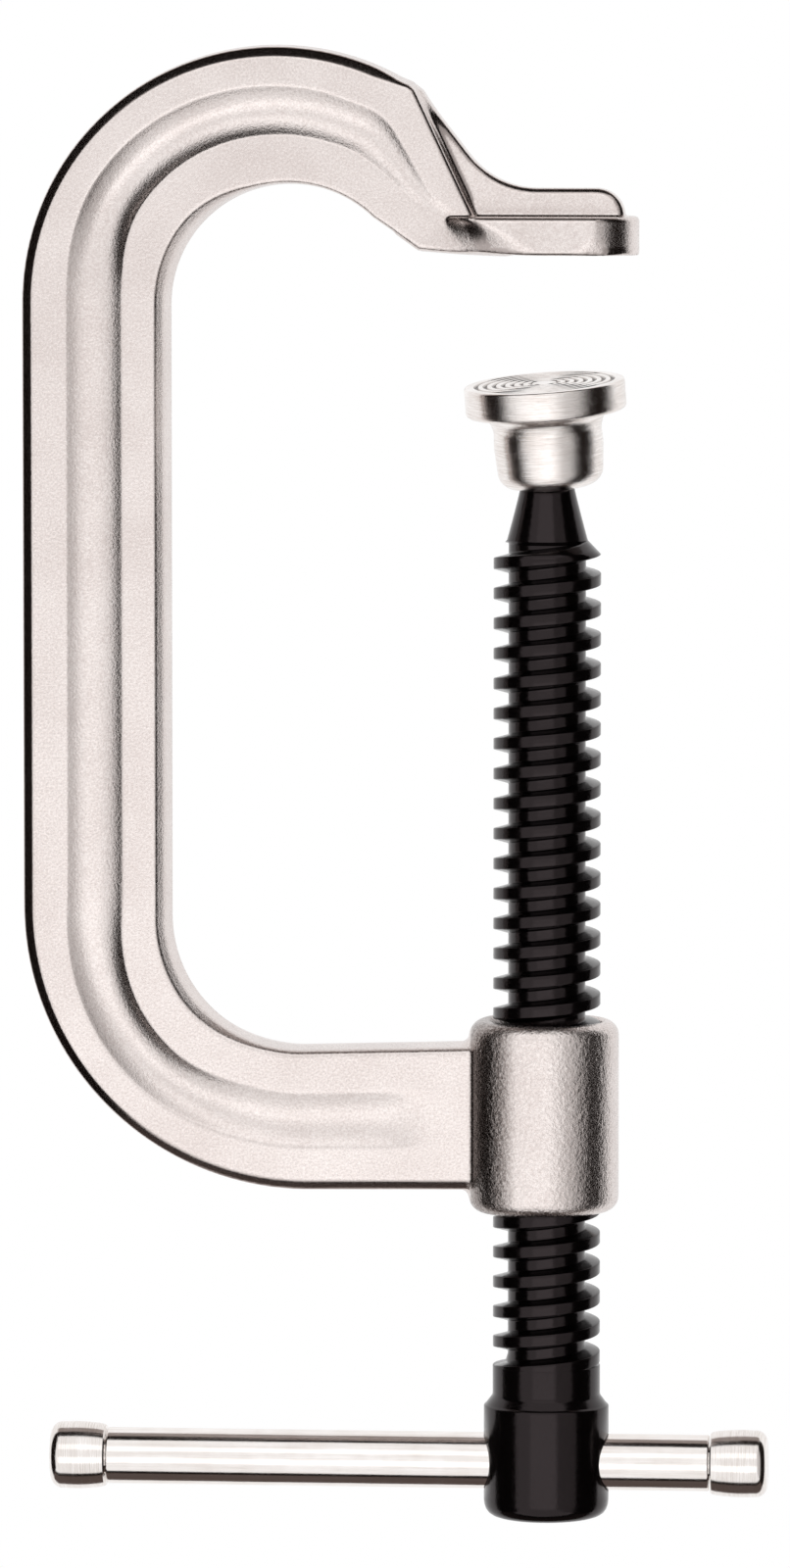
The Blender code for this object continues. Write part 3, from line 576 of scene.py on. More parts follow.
def cut_bore(field, xs, ys, zs):
    """Cuts the screw's thread, grown by its clearances, out of the boss."""
    ix = slice(*np.searchsorted(xs, (-BORE_BOX, BORE_BOX)))
    iy = slice(*np.searchsorted(ys, (-BORE_BOX, BORE_BOX)))
    iz = slice(*np.searchsorted(zs, (BOSS_BOTTOM - BORE_BOX_MARGIN, BOSS_TOP + BORE_BOX_MARGIN)))
    x = xs[ix][:, None, None]
    y = ys[iy][None, :, None]
    z = zs[iz][None, None, :]
    r = np.sqrt(x**2 + y**2)
    angle = np.arctan2(y, x)
    rise = (z - CREST_Z - PITCH * (angle - math.pi) / TAU + PITCH / 2.0) % PITCH
    rise = np.abs(rise - PITCH / 2.0)
    major = MAJOR + BORE_GAP_R
    half_tooth = CREST / 2.0 + BORE_GAP_Z + (major - r) * math.tan(FLANK)
    groove = np.maximum(r - major, (rise - half_tooth) * math.cos(FLANK))
    cutter = np.minimum(groove, r - MINOR - BORE_GAP_R)
    for end, way in ((BOSS_TOP, 1.0), (BOSS_BOTTOM, -1.0)):
        inward = (end - z) * way
        cutter = np.minimum(cutter, (r - (major + BORE_CHAMFER - inward)) / math.sqrt(2.0))
    field[ix, iy, iz] = smax(field[ix, iy, iz], -cutter, BORE_EDGE)
    return field


# Meshes
def mesh_object(name, points, faces, sharp=None):
    """A smooth-shaded object; sharp is the angle in degrees above which edges stay sharp."""
    mesh = bpy.data.meshes.new(name)
    mesh.from_pydata(points, [], faces)
    mesh.validate()
    mesh.update()
    mesh.shade_smooth()
    if sharp is not None:
        mesh.set_sharp_from_angle(angle=math.radians(sharp))
    obj = bpy.data.objects.new(name, mesh)
    bpy.context.scene.collection.objects.link(obj)
    return obj


def in_metres(points):
    return [tuple(c * MM for c in point) for point in points]


def build_forging():
    """Meshes the forging's field, with its far half mirrored to the near side."""
    xs = np.arange(*FIELD_X, VOXEL, dtype=np.float32)
    ys = np.arange(0.0, FIELD_Y, VOXEL, dtype=np.float32)
    zs = np.arange(*FIELD_Z, VOXEL, dtype=np.float32)
    half = forged_field(xs, ys, zs).astype(np.float32)
    full = np.concatenate([half[:, :0:-1, :], half], axis=1)
    ys = np.concatenate([-ys[:0:-1], ys])
    full = cut_bore(full, xs, ys, zs)
    band = 3.0 * VOXEL
    grid = openvdb.FloatGrid(band)
    grid.copyFromArray(np.clip(full, -band, band).astype(np.float32))
    points, triangles, quads = grid.convertToPolygons(0.0, 0.0)
    points = np.asarray(points, np.float64) * VOXEL
    points += np.array([xs[0], ys[0], zs[0]])
    faces = [tuple(int(i) for i in f[::-1]) for f in quads]
    faces += [tuple(int(i) for i in f[::-1]) for f in triangles]
    return mesh_object("frame_forging", (points * MM).tolist(), faces)


def paint_forging(forging):
    """Marks the coarse boss, the painted shade on its left side next to the arm, and the darker
    slanted bevels at the vertices.
    """
    mesh = forging.data
    where = np.empty(len(mesh.vertices) * 3, np.float32)
    mesh.vertices.foreach_get("co", where)
    x, _, z = where.reshape(-1, 3).T / MM
    facing = np.empty(len(mesh.vertices) * 3, np.float32)
    mesh.vertex_normals.foreach_get("vector", facing)
    facing = np.abs(facing.reshape(-1, 3)[:, 1])

    us, vs = np.arange(*FIELD_X, PAINT_STEP), np.arange(*FIELD_Z, PAINT_STEP)
    inset = -outline_field(forging_outline(), us, vs)
    column = np.clip(np.rint((x - us[0]) / PAINT_STEP).astype(int), 0, len(us) - 1)
    row = np.clip(np.rint((z - vs[0]) / PAINT_STEP).astype(int), 0, len(vs) - 1)
    inset = inset[column, row]

    at_boss = z < BOSS_BELOW_Z
    slanted = fade(facing, *BEVEL_DARK_STEEP_FADE) * fade(facing, *BEVEL_DARK_FLAT_FADE)
    at_outline = (inset > BEVEL_DARK_INSET[0]) & (inset < BEVEL_DARK_INSET[1])
    at_outline = at_outline & ~(at_boss & (x > BEVEL_DARK_STOP_X))
    on_tongue = (z > ANVIL_THICKNESS - TONGUE_BEVEL_DARK_HEIGHT) & (x > TONGUE_BEVEL_DARK_X)
    for name, value in (
        ("coarse", fade(x, *COARSE_FADE) * at_boss),
        # Painted shade on the boss's left side, next to the arm's end
        ("boss_shade", fade(x, *BOSS_SHADE_ON_FADE) * fade(x, *BOSS_SHADE_OFF_FADE) * at_boss),
        # Darker colour on the slanted bevels along the outline, except the boss's right, and on the
        # tongue's top edge
        ("bevel_dark", slanted * (at_outline | on_tongue)),
    ):
        attribute = mesh.attributes.new(name, "FLOAT", "POINT")
        attribute.data.foreach_set("value", value.astype(np.float32))


def revolve(name, profile, segments, along="Z", sharp=30.0):
    """A body turned from (radius, height) points, whose last point joins the first."""
    points = []
    rings = []
    for radius, height in profile:
        if radius < 1e-6:
            rings.append([len(points)])
            points.append((0.0, 0.0, height))
            continue
        rings.append([len(points) + i for i in range(segments)])
        for i in range(segments):
            a = TAU * i / segments
            points.append((radius * math.cos(a), radius * math.sin(a), height))
    faces = []
    for a, b in zip(rings, rings[1:] + rings[:1]):
        if len(a) == 1 and len(b) == 1:
            continue
        for i in range(segments):
            j = (i + 1) % segments
            if len(a) == 1:
                faces.append((a[0], b[j], b[i]))
            elif len(b) == 1:
                faces.append((a[i], a[j], b[0]))
            else:
                faces.append((a[i], a[j], b[j], b[i]))
    if along == "X":
        points = [(z, x, y) for x, y, z in points]
    return mesh_object(name, in_metres(points), faces, sharp)


# Screw
def crest_at(angle):
    return CREST_Z + PITCH * (angle - math.pi) / TAU


def angle_of(z):
    return math.pi + TAU * (z - CREST_Z) / PITCH


def thread_profile():
    """(share of the tooth's height, rise from the crest's middle) across one tooth."""
    c = CREST / 2.0
    b = c + (MAJOR - MINOR) * math.tan(FLANK)
    line = [(MINOR, -b - ROOT_STRIP), (MINOR, -b), (MAJOR, -c)]
    line += [(MAJOR, c), (MINOR, b), (MINOR, b + ROOT_STRIP)]
    line = rounded(line, [0, ROOT_FILLET, CREST_EDGE, CREST_EDGE, ROOT_FILLET, 0], 3)
    finer = [line[0]]
    for before, after in zip(line, line[1:]):
        parts = max(1, round(math.dist(before, after) / PROFILE_STEP))
        for k in range(1, parts + 1):
            finer.append(tuple(Vector(before).lerp(Vector(after), k / parts)))
    return [((r - MINOR) / (MAJOR - MINOR), z) for r, z in finer]


def neck_radius(z):
    """Radius of the flared neck at a height."""
    share = min(1.0, max(0.0, (z - NECK_ROOT_Z) / (NECK_TOP_Z - NECK_ROOT_Z)))
    return NECK_RADIUS + (NECK_ROOT_RADIUS - NECK_RADIUS) * (1.0 - share) ** NECK_POWER


def turned_limit(z):
    """Radius that the thread is turned down to at its upper end."""
    if z < NECK_ROOT_Z:
        return NECK_ROOT_RADIUS + (NECK_ROOT_Z - z) / TURNED_SLOPE
    return neck_radius(z) - TURNED_SUNK


def thread_rows(profile, start, count, around):
    """The tooth's profile at each step of its turn, from its tail in the shank upward."""
    step = TAU / around
    points = []
    for i in range(count + 1):
        angle = (start + i) * step
        tail = 1.0 - smooth(i / (TAIL_TURNS * around))
        root = MINOR + (MAJOR - TAIL_SUNK - MINOR) * tail
        for share, rise in profile:
            z = crest_at(angle) + rise
            r = max(root, MINOR + (MAJOR - MINOR) * share)
            r = min(r, turned_limit(z))
            points.append((r * math.cos(angle), r * math.sin(angle), z))
    return points


def end_ring(radius, z, start, around):
    step = TAU / around
    angles = [(start + j) * step for j in range(around)]
    return [(radius * math.cos(a), radius * math.sin(a), z) for a in angles]


def build_thread(name, low, high, around):
    """The screw's thread as one closed body, from its tail in the shank to its turned end."""
    profile = thread_profile()
    m = len(profile)
    base = profile[-1][1]
    step = TAU / around
    start = round(angle_of(low + base) / step) + 1
    stop = round(angle_of(high - base) / step) - 1
    count = stop - start
    first = count - around
    points = thread_rows(profile, start, count, around)
    bottom = len(points)
    points += end_ring(MINOR, low, start, around)
    top = len(points)
    points += end_ring(turned_limit(high), high, start + first, around)

    # The tooth's own skin, the root strip between one turn and the next, and the tooth's two ends
    faces = []
    for i in range(count):
        for k in range(m - 1):
            faces.append((m * i + k, m * i + m + k, m * i + m + k + 1, m * i + k + 1))
    for i in range(first):
        up = i + around
        faces.append((m * i + m - 1, m * i + 2 * m - 1, m * up + m, m * up))
    faces.append(tuple(range(m)))
    faces.append(tuple(m * count + k for k in reversed(range(m))))

    # The skirt from the lowest turn down to the bottom ring
    for j in range(around - 1):
        faces.append((bottom + j, bottom + j + 1, m * j + m, m * j))
    seam = m * (around - 1)
    faces.append((bottom + around - 1, bottom, 0, m - 1, seam + m, seam))

    # The skirt from the highest turn up to the top ring
    for j in range(1, around - 1):
        i = m * (first + j)
        faces.append((i + m - 1, i + 2 * m - 1, top + j + 1, top + j))
    i = m * (count - 1)
    faces.append((i + m - 1, i + 2 * m - 1, top, top + around - 1))
    i = m * first
    faces.append((m * count, i + m - 1, i + 2 * m - 1, top + 1, top, m * count + m - 1))

    # The two flat ends
    faces.append(tuple(bottom + j for j in reversed(range(around))))
    faces.append(tuple(top + j for j in range(around)))
    return mesh_object(name, in_metres(points), faces, 50.0)


def build_head():
    """Shank and round head, with the bar's hole drilled across it."""
    line = [
        (0.0, HEAD_BOTTOM),
        (HEAD_RADIUS, HEAD_BOTTOM),
        (HEAD_RADIUS, HEAD_SHOULDER),
        (HEAD_RADIUS - HEAD_STEP[0], HEAD_SHOULDER + HEAD_STEP[1]),
        (SHANK_RADIUS, SHANK_BOTTOM),
        (SHANK_RADIUS, SHANK_TOP),
        (SHANK_CORE, SHANK_TOP),
        (0.0, SHANK_TOP),
    ]
    head = revolve("screw_head", rounded(line, HEAD_ROUNDING, 6), 128)
    line = [(0.0, -HOLE_HALF_LENGTH), (HOLE_RADIUS, -HOLE_HALF_LENGTH)]
    line += [(HOLE_RADIUS, HOLE_HALF_LENGTH), (0.0, HOLE_HALF_LENGTH)]
    drill = revolve("drill", line, 96, "X")
    drill.location = (0.0, 0.0, BAR_Z * MM)
    hole = head.modifiers.new("hole", "BOOLEAN")
    hole.operation = "DIFFERENCE"
    hole.solver = "EXACT"
    hole.object = drill
    edge = head.modifiers.new("edge", "BEVEL")
    edge.width = HOLE_BEVEL * MM
    edge.segments = 3
    edge.limit_method = "ANGLE"
    edge.angle_limit = math.radians(40.0)
    bpy.context.view_layer.update()
    shaped = head.evaluated_get(bpy.context.evaluated_depsgraph_get())
    mesh = bpy.data.meshes.new_from_object(shaped)
    head.modifiers.clear()
    head.data = mesh
    mesh.shade_smooth()
    mesh.set_sharp_from_angle(angle=math.radians(35.0))
    bpy.data.objects.remove(drill)
    return head


def build_neck():
    """Flared neck, and the ball-ended button with the seat of the retaining ring."""
    line = [(0.0, NECK_BASE[1]), NECK_BASE, (NECK_ROOT_RADIUS, NECK_ROOT_Z)]
    for i in range(1, NECK_STEPS):
        z = NECK_ROOT_Z + (NECK_TOP_Z - NECK_ROOT_Z) * i / NECK_STEPS
        line.append((neck_radius(z), z))
    line.append((NECK_RADIUS, NECK_TOP_Z))
    line += [(radius, PAD_Z + height) for radius, height in COLLAR_LINE]
    line += [(RING_SEAT_RADIUS, PAD_Z + height) for height in RING_SEAT_ENDS]
    line.append((COLLAR_RADIUS, PAD_Z + RING_SEAT_ENDS[1]))
    line += arc(0.0, PAD_Z, BUTTON_RADIUS, BUTTON_FOOT_TURN, 90, 20)
    return revolve("screw_neck", line, 96, "Z", 35.0)


# Swivel pad
def pad_grooves():
    """Ring grooves in the pad's face, from the outermost inward."""
    line = []
    for i in range(GROOVE_COUNT):
        r = GROOVE_OUTERMOST - GROOVE_PITCH * i
        line.append((r + GROOVE_HALF_WIDTH, PAD_FACE))
        line.append((r + GROOVE_HALF_FLOOR, PAD_FACE - GROOVE_DEPTH))
        line.append((r - GROOVE_HALF_FLOOR, PAD_FACE - GROOVE_DEPTH))
        line.append((r - GROOVE_HALF_WIDTH, PAD_FACE))
    return line


def build_pad():
    """Pad with its hub and hollow, turned upright and then tilted on the button."""
    flange = [FLANGE_FOOT, (PAD_RADIUS, FLANGE_FOOT[1])]
    flange += [(PAD_RADIUS, PAD_FACE), (PAD_FLAT_RADIUS, PAD_FACE)]
    line = [HUB_MOUTH] + arc(*HUB_LIP, -84, -4, 12)
    line += rounded(HUB_LINE, HUB_ROUNDING, 4) + rounded(flange, FLANGE_ROUNDING, 6)[1:]
    line += pad_grooves() + [(0.0, PAD_FACE), (0.0, SOCKET_RADIUS)]
    line += arc(0.0, 0.0, SOCKET_RADIUS, 88, 0, 16) + SOCKET_LINE
    pad = revolve("pad_swivel", line, 128, "Z", 32.0)

    # Painted shade: the floors of the face's grooves are marked, to be painted near black
    groove_shade = pad.data.attributes.new("groove_shade", "FLOAT", "POINT")
    outermost = (GROOVE_OUTERMOST + GROOVE_HALF_WIDTH + GROOVE_PAINT_MARGIN) * MM
    lowest = (PAD_FACE - GROOVE_DEPTH - GROOVE_PAINT_MARGIN) * MM
    highest = (PAD_FACE - GROOVE_PAINT_MARGIN) * MM
    for vertex, mark in zip(pad.data.vertices, groove_shade.data):
        radius = math.hypot(vertex.co.x, vertex.co.y)
        mark.value = float(radius < outermost and lowest < vertex.co.z < highest)
    pad.data.transform(Matrix.Translation((0.0, 0.0, PAD_Z * MM)) @ PAD_TILT)
    return pad


# Bar and caps
def build_bar():
    """Round bar with a reduced spigot at each end for its cap."""
    left, right = CAP_LEFT + SEAT_GAP, CAP_RIGHT - SEAT_GAP
    line = [(0.0, left - SPIGOT_LENGTH), (SPIGOT_RADIUS, left - SPIGOT_LENGTH)]
    line += [(SPIGOT_RADIUS, left), (BAR_RADIUS, left)]
    line += [(BAR_RADIUS, right), (SPIGOT_RADIUS, right)]
    line += [(SPIGOT_RADIUS, right + SPIGOT_LENGTH), (0.0, right + SPIGOT_LENGTH)]
    bar = revolve("bar_rod", rounded(line, BAR_ROUNDING, 4), 96, "X")
    bar.data.transform(Matrix.Translation((0.0, 0.0, BAR_Z * MM)))
    return bar


def build_cap(name, face, way, length):
    """Slightly bulging cap with a round outer edge, its inner face at x = face."""
    line = list(CAP_MOUTH)
    start, share = CAP_BULGE_TURNS
    for i in range(1, CAP_STEPS):
        t = i / CAP_STEPS
        radius = CAP_RADIUS + CAP_BULGE * math.sin(math.pi * (start + share * t))
        line.append((radius, CAP_FOOT + (length - CAP_FOOT - CAP_EDGE) * t))
    line += arc(line[-1][0] - CAP_EDGE, length - CAP_EDGE, CAP_EDGE, 0, 90, 8)
    line.append((0.0, length))
    cap = revolve(name, line, 96, "X")
    if way < 0:
        cap.data.transform(Matrix.Rotation(math.pi, 4, "Z"))
    cap.data.transform(Matrix.Translation((face * MM, 0.0, BAR_Z * MM)))
    return cap


# Material nodes
def feed(tree, socket, value):
    """Links a node's output to a socket, or sets the socket to a plain value."""
    if isinstance(value, bpy.types.NodeSocket):
        tree.links.new(value, socket)
    else:
        socket.default_value = value


def new_material(name):
    material = bpy.data.materials.new(name)
    material.use_nodes = True
    tree = material.node_tree
    return material, tree, tree.nodes["Principled BSDF"]


def mapped(tree, vector, setting, value):
    made = tree.nodes.new("ShaderNodeMapping")
    made.inputs[setting].default_value = value
    tree.links.new(vector, made.inputs["Vector"])
    return made.outputs["Vector"]


def coordinates(tree, scale=(1.0, 1.0, 1.0), turn=None):
    """Object coordinates, turned first where a turn is given and then scaled."""
    vector = tree.nodes.new("ShaderNodeTexCoord").outputs["Object"]
    if turn is not None:
        vector = mapped(tree, vector, "Rotation", turn)
    return mapped(tree, vector, "Scale", scale)


def noise(tree, vector, scale, detail, rough=0.5):
    made = tree.nodes.new("ShaderNodeTexNoise")
    made.inputs["Scale"].default_value = scale
    made.inputs["Detail"].default_value = detail
    made.inputs["Roughness"].default_value = rough
    tree.links.new(vector, made.inputs["Vector"])
    return made.outputs["Fac"]


def spread(tree, value, source, target):
    """Maps the source range of a value to the target range."""
    made = tree.nodes.new("ShaderNodeMapRange")
    made.inputs["From Min"].default_value = source[0]
    made.inputs["From Max"].default_value = source[1]
    made.inputs["To Min"].default_value = target[0]
    made.inputs["To Max"].default_value = target[1]
    tree.links.new(value, made.inputs["Value"])
    return made.outputs["Result"]


def math_node(tree, operation, a, b):
    made = tree.nodes.new("ShaderNodeMath")
    made.operation = operation
    feed(tree, made.inputs[0], a)
    feed(tree, made.inputs[1], b)
    return made.outputs[0]


def weighted(tree, a, share, b):
    """A share of one value and the rest of another."""
    a = math_node(tree, "MULTIPLY", a, share)
    return math_node(tree, "ADD", a, math_node(tree, "MULTIPLY", b, 1.0 - share))


def mix(tree, share, first, second):
    """Mixes a plain or linked colour with a plain one, by the share of the second."""
    made = tree.nodes.new("ShaderNodeMix")
    made.data_type = "RGBA"
    factor, colour_a, colour_b = made.inputs[0], made.inputs[6], made.inputs[7]
    tree.links.new(share, factor)
    feed(tree, colour_a, (*first, 1.0) if isinstance(first, tuple) else first)
    colour_b.default_value = (*second, 1.0)
    return made.outputs[2]


def painted(tree, name):
    """A value that the mesh carries at its vertices."""
    made = tree.nodes.new("ShaderNodeAttribute")
    made.attribute_name = name
    return made.outputs["Fac"]


def bump(tree, height, strength, distance, below=None):
    made = tree.nodes.new("ShaderNodeBump")
    feed(tree, made.inputs["Strength"], strength)
    made.inputs["Distance"].default_value = distance
    tree.links.new(height, made.inputs["Height"])
    if below is not None:
        tree.links.new(below, made.inputs["Normal"])
    return made.outputs["Normal"]


# Materials
def forged_material():
    """Blasted forging with darker slanted bevels and a coarse boss, which has painted shade on its
    left next to the arm.
    """
    material, tree, shader = new_material("forged_steel_blasted")
    vector = coordinates(tree)
    fine = noise(tree, vector, scale=2400.0, detail=2.0)
    grain = noise(tree, vector, scale=1700.0, detail=3.0, rough=0.65)
    cloud = noise(tree, vector, scale=60.0, detail=3.0)
    lumps = noise(tree, vector, scale=900.0, detail=3.0, rough=0.6)
    coarse, bevel_dark, boss_shade = [painted(tree, name) for name in ("coarse", "bevel_dark", "boss_shade")]

    mottle = spread(tree, weighted(tree, grain, 0.7, cloud), (0.38, 0.62), (0.0, 1.0))
    colour = mix(tree, mottle, FORGED_DARK, FORGED_LIGHT)
    # Painted shade: the boss's left side next to the arm is darkened, unevenly with the grain
    shaded = spread(tree, grain, (0.35, 0.65), (0.85, 0.4))
    shaded = math_node(tree, "MULTIPLY", boss_shade, shaded)
    colour = mix(tree, shaded, colour, FORGED_PAINTED_SHADE)
    # Darker colour on the slanted bevels, chosen by their tilt
    colour = mix(tree, bevel_dark, colour, BEVEL_DARK_COLOUR)
    tree.links.new(colour, shader.inputs["Base Color"])

    rough = spread(tree, fine, (0.3, 0.7), (0.19, 0.29))
    rough = math_node(tree, "SUBTRACT", rough, math_node(tree, "MULTIPLY", bevel_dark, 0.04))
    tree.links.new(rough, shader.inputs["Roughness"])
    shader.inputs["Metallic"].default_value = 1.0

    strength = spread(tree, coarse, (0.0, 1.0), (0.04, 0.40))
    lumpy = bump(tree, lumps, strength, distance=0.0005)
    strength = spread(tree, coarse, (0.0, 1.0), (0.40, 0.45))
    strength = math_node(tree, "MULTIPLY", strength, math_node(tree, "SUBTRACT", 1.0, bevel_dark))
    grainy = bump(tree, grain, strength, distance=0.0002, below=lumpy)
    tree.links.new(grainy, shader.inputs["Normal"])
    return material


def black_material():
    """Oiled black oxide, which reflects like a dark plastic with a warm sheen."""
    material, tree, shader = new_material("black_oxide_oiled")
    vector = coordinates(tree)
    fine = noise(tree, vector, scale=1500.0, detail=3.0)
    cloud = noise(tree, vector, scale=220.0, detail=3.0)
    tree.links.new(mix(tree, cloud, BLACK_DARK, BLACK_LIGHT), shader.inputs["Base Color"])
    tree.links.new(spread(tree, fine, (0.3, 0.7), (0.11, 0.23)), shader.inputs["Roughness"])
    shader.inputs["Metallic"].default_value = 0.0
    shader.inputs["IOR"].default_value = 1.45
    shader.inputs["Specular IOR Level"].default_value = 0.42
    shader.inputs["Specular Tint"].default_value = BLACK_SHEEN
    tree.links.new(bump(tree, fine, 0.14, distance=0.0001), shader.inputs["Normal"])
    return material


def turned_material(name, stretch, rough, light, dark, strength, turn=None):
    """Bright steel with fine marks of the lathe; stretch is how close they lie along each axis."""
    material, tree, shader = new_material(name)
    lines = noise(tree, coordinates(tree, stretch, turn), scale=1.0, detail=4.0, rough=0.65)
    cloud = noise(tree, coordinates(tree), scale=180.0, detail=3.0)
    marks = weighted(tree, lines, 0.7, cloud)
    colour = mix(tree, spread(tree, marks, (0.35, 0.65), (0.0, 1.0)), dark, light)
    # Painted shade on the groove floors that the mesh marks
    colour = mix(tree, painted(tree, "groove_shade"), colour, GROOVE_PAINTED_SHADE)
    tree.links.new(colour, shader.inputs["Base Color"])
    tree.links.new(spread(tree, marks, (0.3, 0.7), rough), shader.inputs["Roughness"])
    shader.inputs["Metallic"].default_value = 1.0
    tree.links.new(bump(tree, lines, strength, distance=0.0001), shader.inputs["Normal"])
    return material


def use(obj, material):
    obj.data.materials.clear()
    obj.data.materials.append(material)


# Camera and studio
def build_camera():
    """A long lens at the photograph's angle, with the photograph's pixel size at the target."""
    data = bpy.data.cameras.new("photo_view")
    data.sensor_fit = "VERTICAL"
    data.sensor_height = SENSOR_MM
    focal_pixels = CAMERA_DISTANCE / MM / (PIXEL_MM * math.cos(CAMERA_ELEVATION))
    data.lens = SENSOR_MM * focal_pixels / IMAGE_HEIGHT
    data.clip_end = CLIP_END
    camera = bpy.data.objects.new("photo_view", data)
    bpy.context.scene.collection.objects.link(camera)
    flat = math.cos(CAMERA_ELEVATION)
    x, y = math.sin(CAMERA_AZIMUTH) * flat, -math.cos(CAMERA_AZIMUTH) * flat
    away = Vector((x, y, math.sin(CAMERA_ELEVATION)))
    camera.location = TARGET + away * CAMERA_DISTANCE
    camera.rotation_euler = (-away).to_track_quat("-Z", "Y").to_euler()
    bpy.context.scene.camera = camera


def build_world():
    """White to the camera and in reflections, and dimmer as a light on what is diffuse."""
    world = bpy.data.worlds.new("studio")
    bpy.context.scene.world = world
    world.use_nodes = True
    tree = world.node_tree
    tree.nodes.clear()
    out = tree.nodes.new("ShaderNodeOutputWorld")
    light = tree.nodes.new("ShaderNodeBackground")
    light.inputs["Color"].default_value = WHITE
    path = tree.nodes.new("ShaderNodeLightPath")
    seen = math_node(tree, "MAXIMUM", path.outputs["Is Camera Ray"], path.outputs["Is Glossy Ray"])
    seen = math_node(tree, "MAXIMUM", seen, path.outputs["Is Transmission Ray"])
    strength = spread(tree, seen, (0.0, 1.0), (WORLD_DIFFUSE, 1.0))
    tree.links.new(strength, light.inputs["Strength"])
    tree.links.new(light.outputs[0], out.inputs["Surface"])


def area_light(name, location, size, power, mirrored):
    """A lamp aimed at the target; reflections show it only if it is mirrored."""
    data = bpy.data.lights.new(name, "AREA")
    data.shape = "RECTANGLE"
    data.size, data.size_y = size
    data.energy = power
    lamp = bpy.data.objects.new(name, data)
    bpy.context.scene.collection.objects.link(lamp)
    lamp.location = location
    lamp.rotation_euler = (TARGET - Vector(location)).to_track_quat("-Z", "Y").to_euler()
    lamp.visible_glossy = mirrored


def card(name, corners, level):
    """A card that only reflections show; the darker its level, the warmer its colour."""
    obj = mesh_object(name, corners, [(0, 1, 2, 3)])
    material, _, shader = new_material(name)
    colour = [level * share ** (1.0 - level) for share in CARD_TINT]
    shader.inputs["Base Color"].default_value = (*colour, 1.0)
    shader.inputs["Roughness"].default_value = 1.0
    shader.inputs["Specular IOR Level"].default_value = 0.0
    use(obj, material)
    obj.visible_camera = False
    obj.visible_diffuse = False
    obj.visible_shadow = False
    obj.visible_transmission = False


def wall_card(name, x, y, z, level):
    """An upright card beside the object, from y[0] to y[1] and from z[0] to z[1]."""
    corners = [(x, y[0], z[0]), (x, y[1], z[0]), (x, y[1], z[1]), (x, y[0], z[1])]
    card(name, corners, level)


def flat_card(name, z, x, y, level):
    """A level card above or below the object, from x[0] to x[1] and from y[0] to y[1]."""
    corners = [(x[0], y[0], z), (x[1], y[0], z), (x[1], y[1], z), (x[0], y[1], z)]
    card(name, corners, level)


def build_floor():
    """Pale floor that takes the object's shadow and is plain white in reflections."""
    corners = [(-1, -1), (1, -1), (1, 1), (-1, 1)]
    points = [(x * FLOOR_HALF, y * FLOOR_HALF, FLOOR_Z) for x, y in corners]
    floor = mesh_object("floor", points, [(0, 1, 2, 3)])
    material, tree, shader = new_material("floor_pale")
    shader.inputs["Base Color"].default_value = FLOOR_COLOUR
    shader.inputs["Roughness"].default_value = 0.8
    path = tree.nodes.new("ShaderNodeLightPath")
    glossy, transmission = path.outputs["Is Glossy Ray"], path.outputs["Is Transmission Ray"]
    white = tree.nodes.new("ShaderNodeEmission")
    mixed = tree.nodes.new("ShaderNodeMixShader")
    tree.links.new(math_node(tree, "MAXIMUM", glossy, transmission), mixed.inputs[0])
    tree.links.new(shader.outputs[0], mixed.inputs[1])
    tree.links.new(white.outputs[0], mixed.inputs[2])
    tree.links.new(mixed.outputs[0], tree.nodes["Material Output"].inputs["Surface"])
    use(floor, material)
    return floor


build_camera()
bpy.context.scene.view_settings.view_transform = "Standard"

TILT_AXIS = Vector((-math.sin(TILT_HEADING), math.cos(TILT_HEADING), 0.0))
PAD_TILT = Matrix.Rotation(TILT, 4, TILT_AXIS)
PAD_UPRIGHT = PAD_TILT.inverted().to_euler()

forged = forged_material()
black = black_material()
bright = turned_material(
    "pad_steel_turned", (150.0, 150.0, 5200.0), (0.09, 0.22), BRIGHT_STEEL, PAD_DARK, 0.6, PAD_UPRIGHT
)
polished = turned_material(
    "bar_steel_polished", (40.0, 900.0, 900.0), (0.09, 0.18), BRIGHT_STEEL, BAR_DARK, 0.08
)
capped = turned_material(
    "cap_steel_turned", (6000.0, 160.0, 160.0), (0.10, 0.20), BRIGHT_STEEL, CAP_DARK, 0.16
)
spring = turned_material(
    "spring_steel_drawn", (900.0, 900.0, 900.0), (0.25, 0.4), SPRING_LIGHT, SPRING_DARK, 0.1
)

# The forging
forging = build_forging()
paint_forging(forging)
use(forging, forged)
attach(forging, "clamp_frame")
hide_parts("frame")

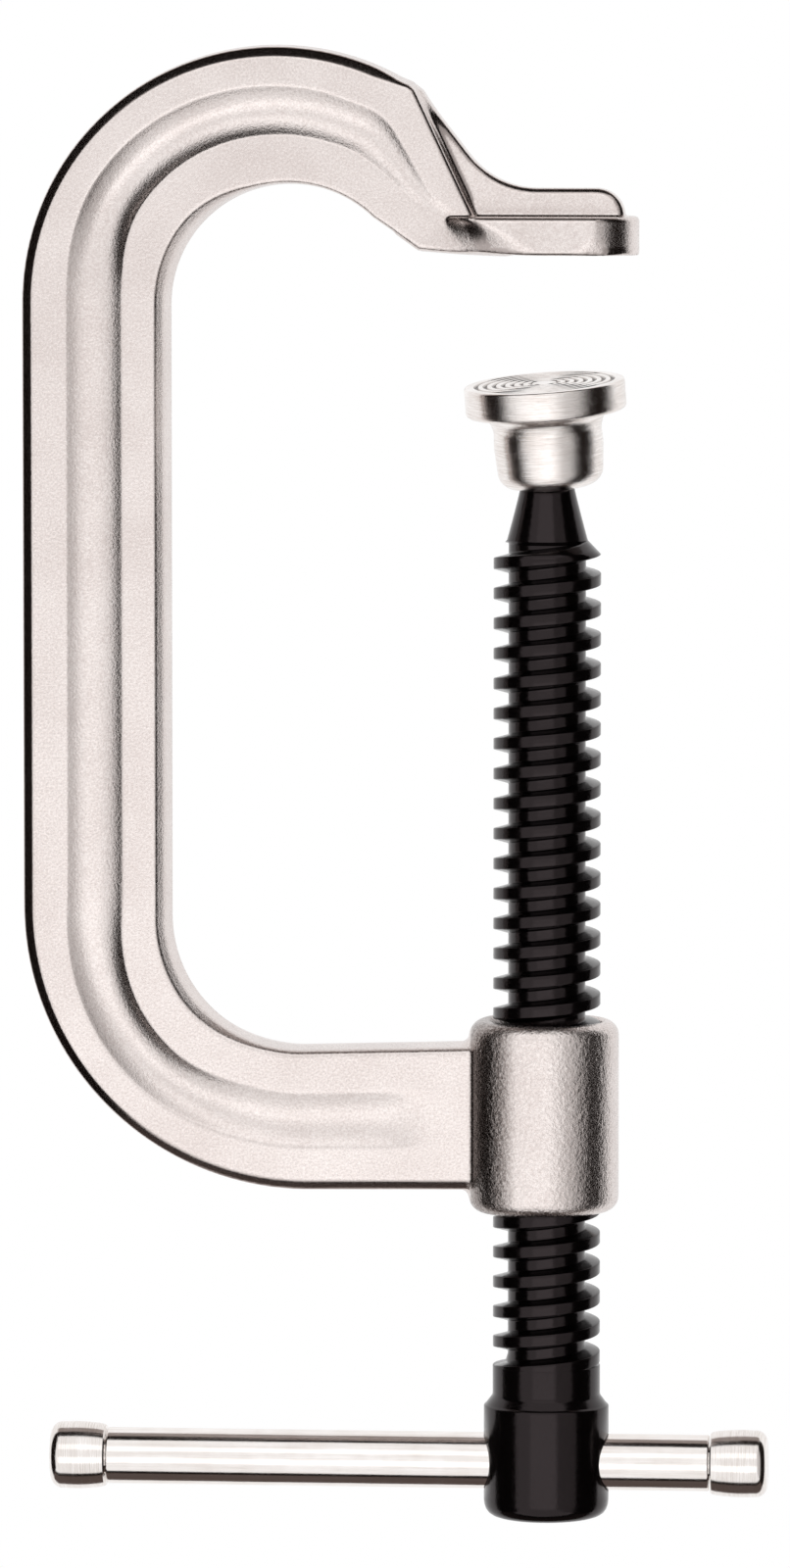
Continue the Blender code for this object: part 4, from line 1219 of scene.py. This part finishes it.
# The screw
thread = build_thread("screw_thread", THREAD_LOW, THREAD_HIGH, THREAD_FACETS)
head = build_head()
neck = build_neck()
for piece in (thread, head, neck):
    use(piece, black)
    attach(piece, "screw")
    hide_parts("spindle")

# The swivel pad, and its retaining ring as the CAD has it
pad = build_pad()
use(pad, bright)
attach(pad, "pad")
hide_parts("pressure_pad")
use(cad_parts["pad_retaining_ring"], spring)

# The bar and its caps
bar = build_bar()
use(bar, polished)
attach(bar, "handle")
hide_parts("tommy_bar")
for name, node_name, face, way, length in (
    ("cap_left", "bar_cap_left", CAP_LEFT, -1.0, CAP_LENGTHS[0]),
    ("cap_right", "bar_cap_right", CAP_RIGHT, 1.0, CAP_LENGTHS[1]),
):
    cap = build_cap(name, face, way, length)
    use(cap, capped)
    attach(cap, "handle")
    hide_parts(node_name)

# The studio
build_world()
area_light("key_left", (-1.1, -1.9, 0.55), size=(1.2, 1.6), power=6.2, mirrored=False)
area_light("key_right", (1.45, -1.55, 0.25), size=(1.2, 1.6), power=4.3, mirrored=False)
area_light("fill_low", (-0.05, -1.75, -0.72), size=(1.6, 0.9), power=2.0, mirrored=True)
area_light("fill_high", (-0.05, -1.6, 0.85), size=(1.6, 0.6), power=1.1, mirrored=True)

across = (CARDS_LEFT, CARDS_RIGHT)
upright = (CARDS_LOW, CARDS_TOP)
wall_card("card_left", CARDS_LEFT, y=(-0.33, 0.10), z=(-0.75, CARDS_TOP), level=0.018)
wall_card("card_right", CARDS_RIGHT, y=(-0.21, 0.14), z=upright, level=0.018)
wall_card("card_right_front", CARDS_RIGHT, y=(-0.80, -0.21), z=upright, level=0.95)
flat_card("card_top", CARDS_TOP, x=across, y=(-0.16, 0.05), level=0.015)
flat_card("card_top_near", 0.20, x=(CARDS_LEFT, 0.10), y=(-0.135, -0.05), level=0.015)
flat_card("card_top_back", CARDS_TOP, x=across, y=(0.05, 0.30), level=0.5)
flat_card("card_low_front", CARDS_LOW, x=across, y=(-0.19, -0.11), level=0.015)
flat_card("card_low_back", CARDS_LOW, x=across, y=(-0.11, 0.15), level=0.15)

floor = build_floor()
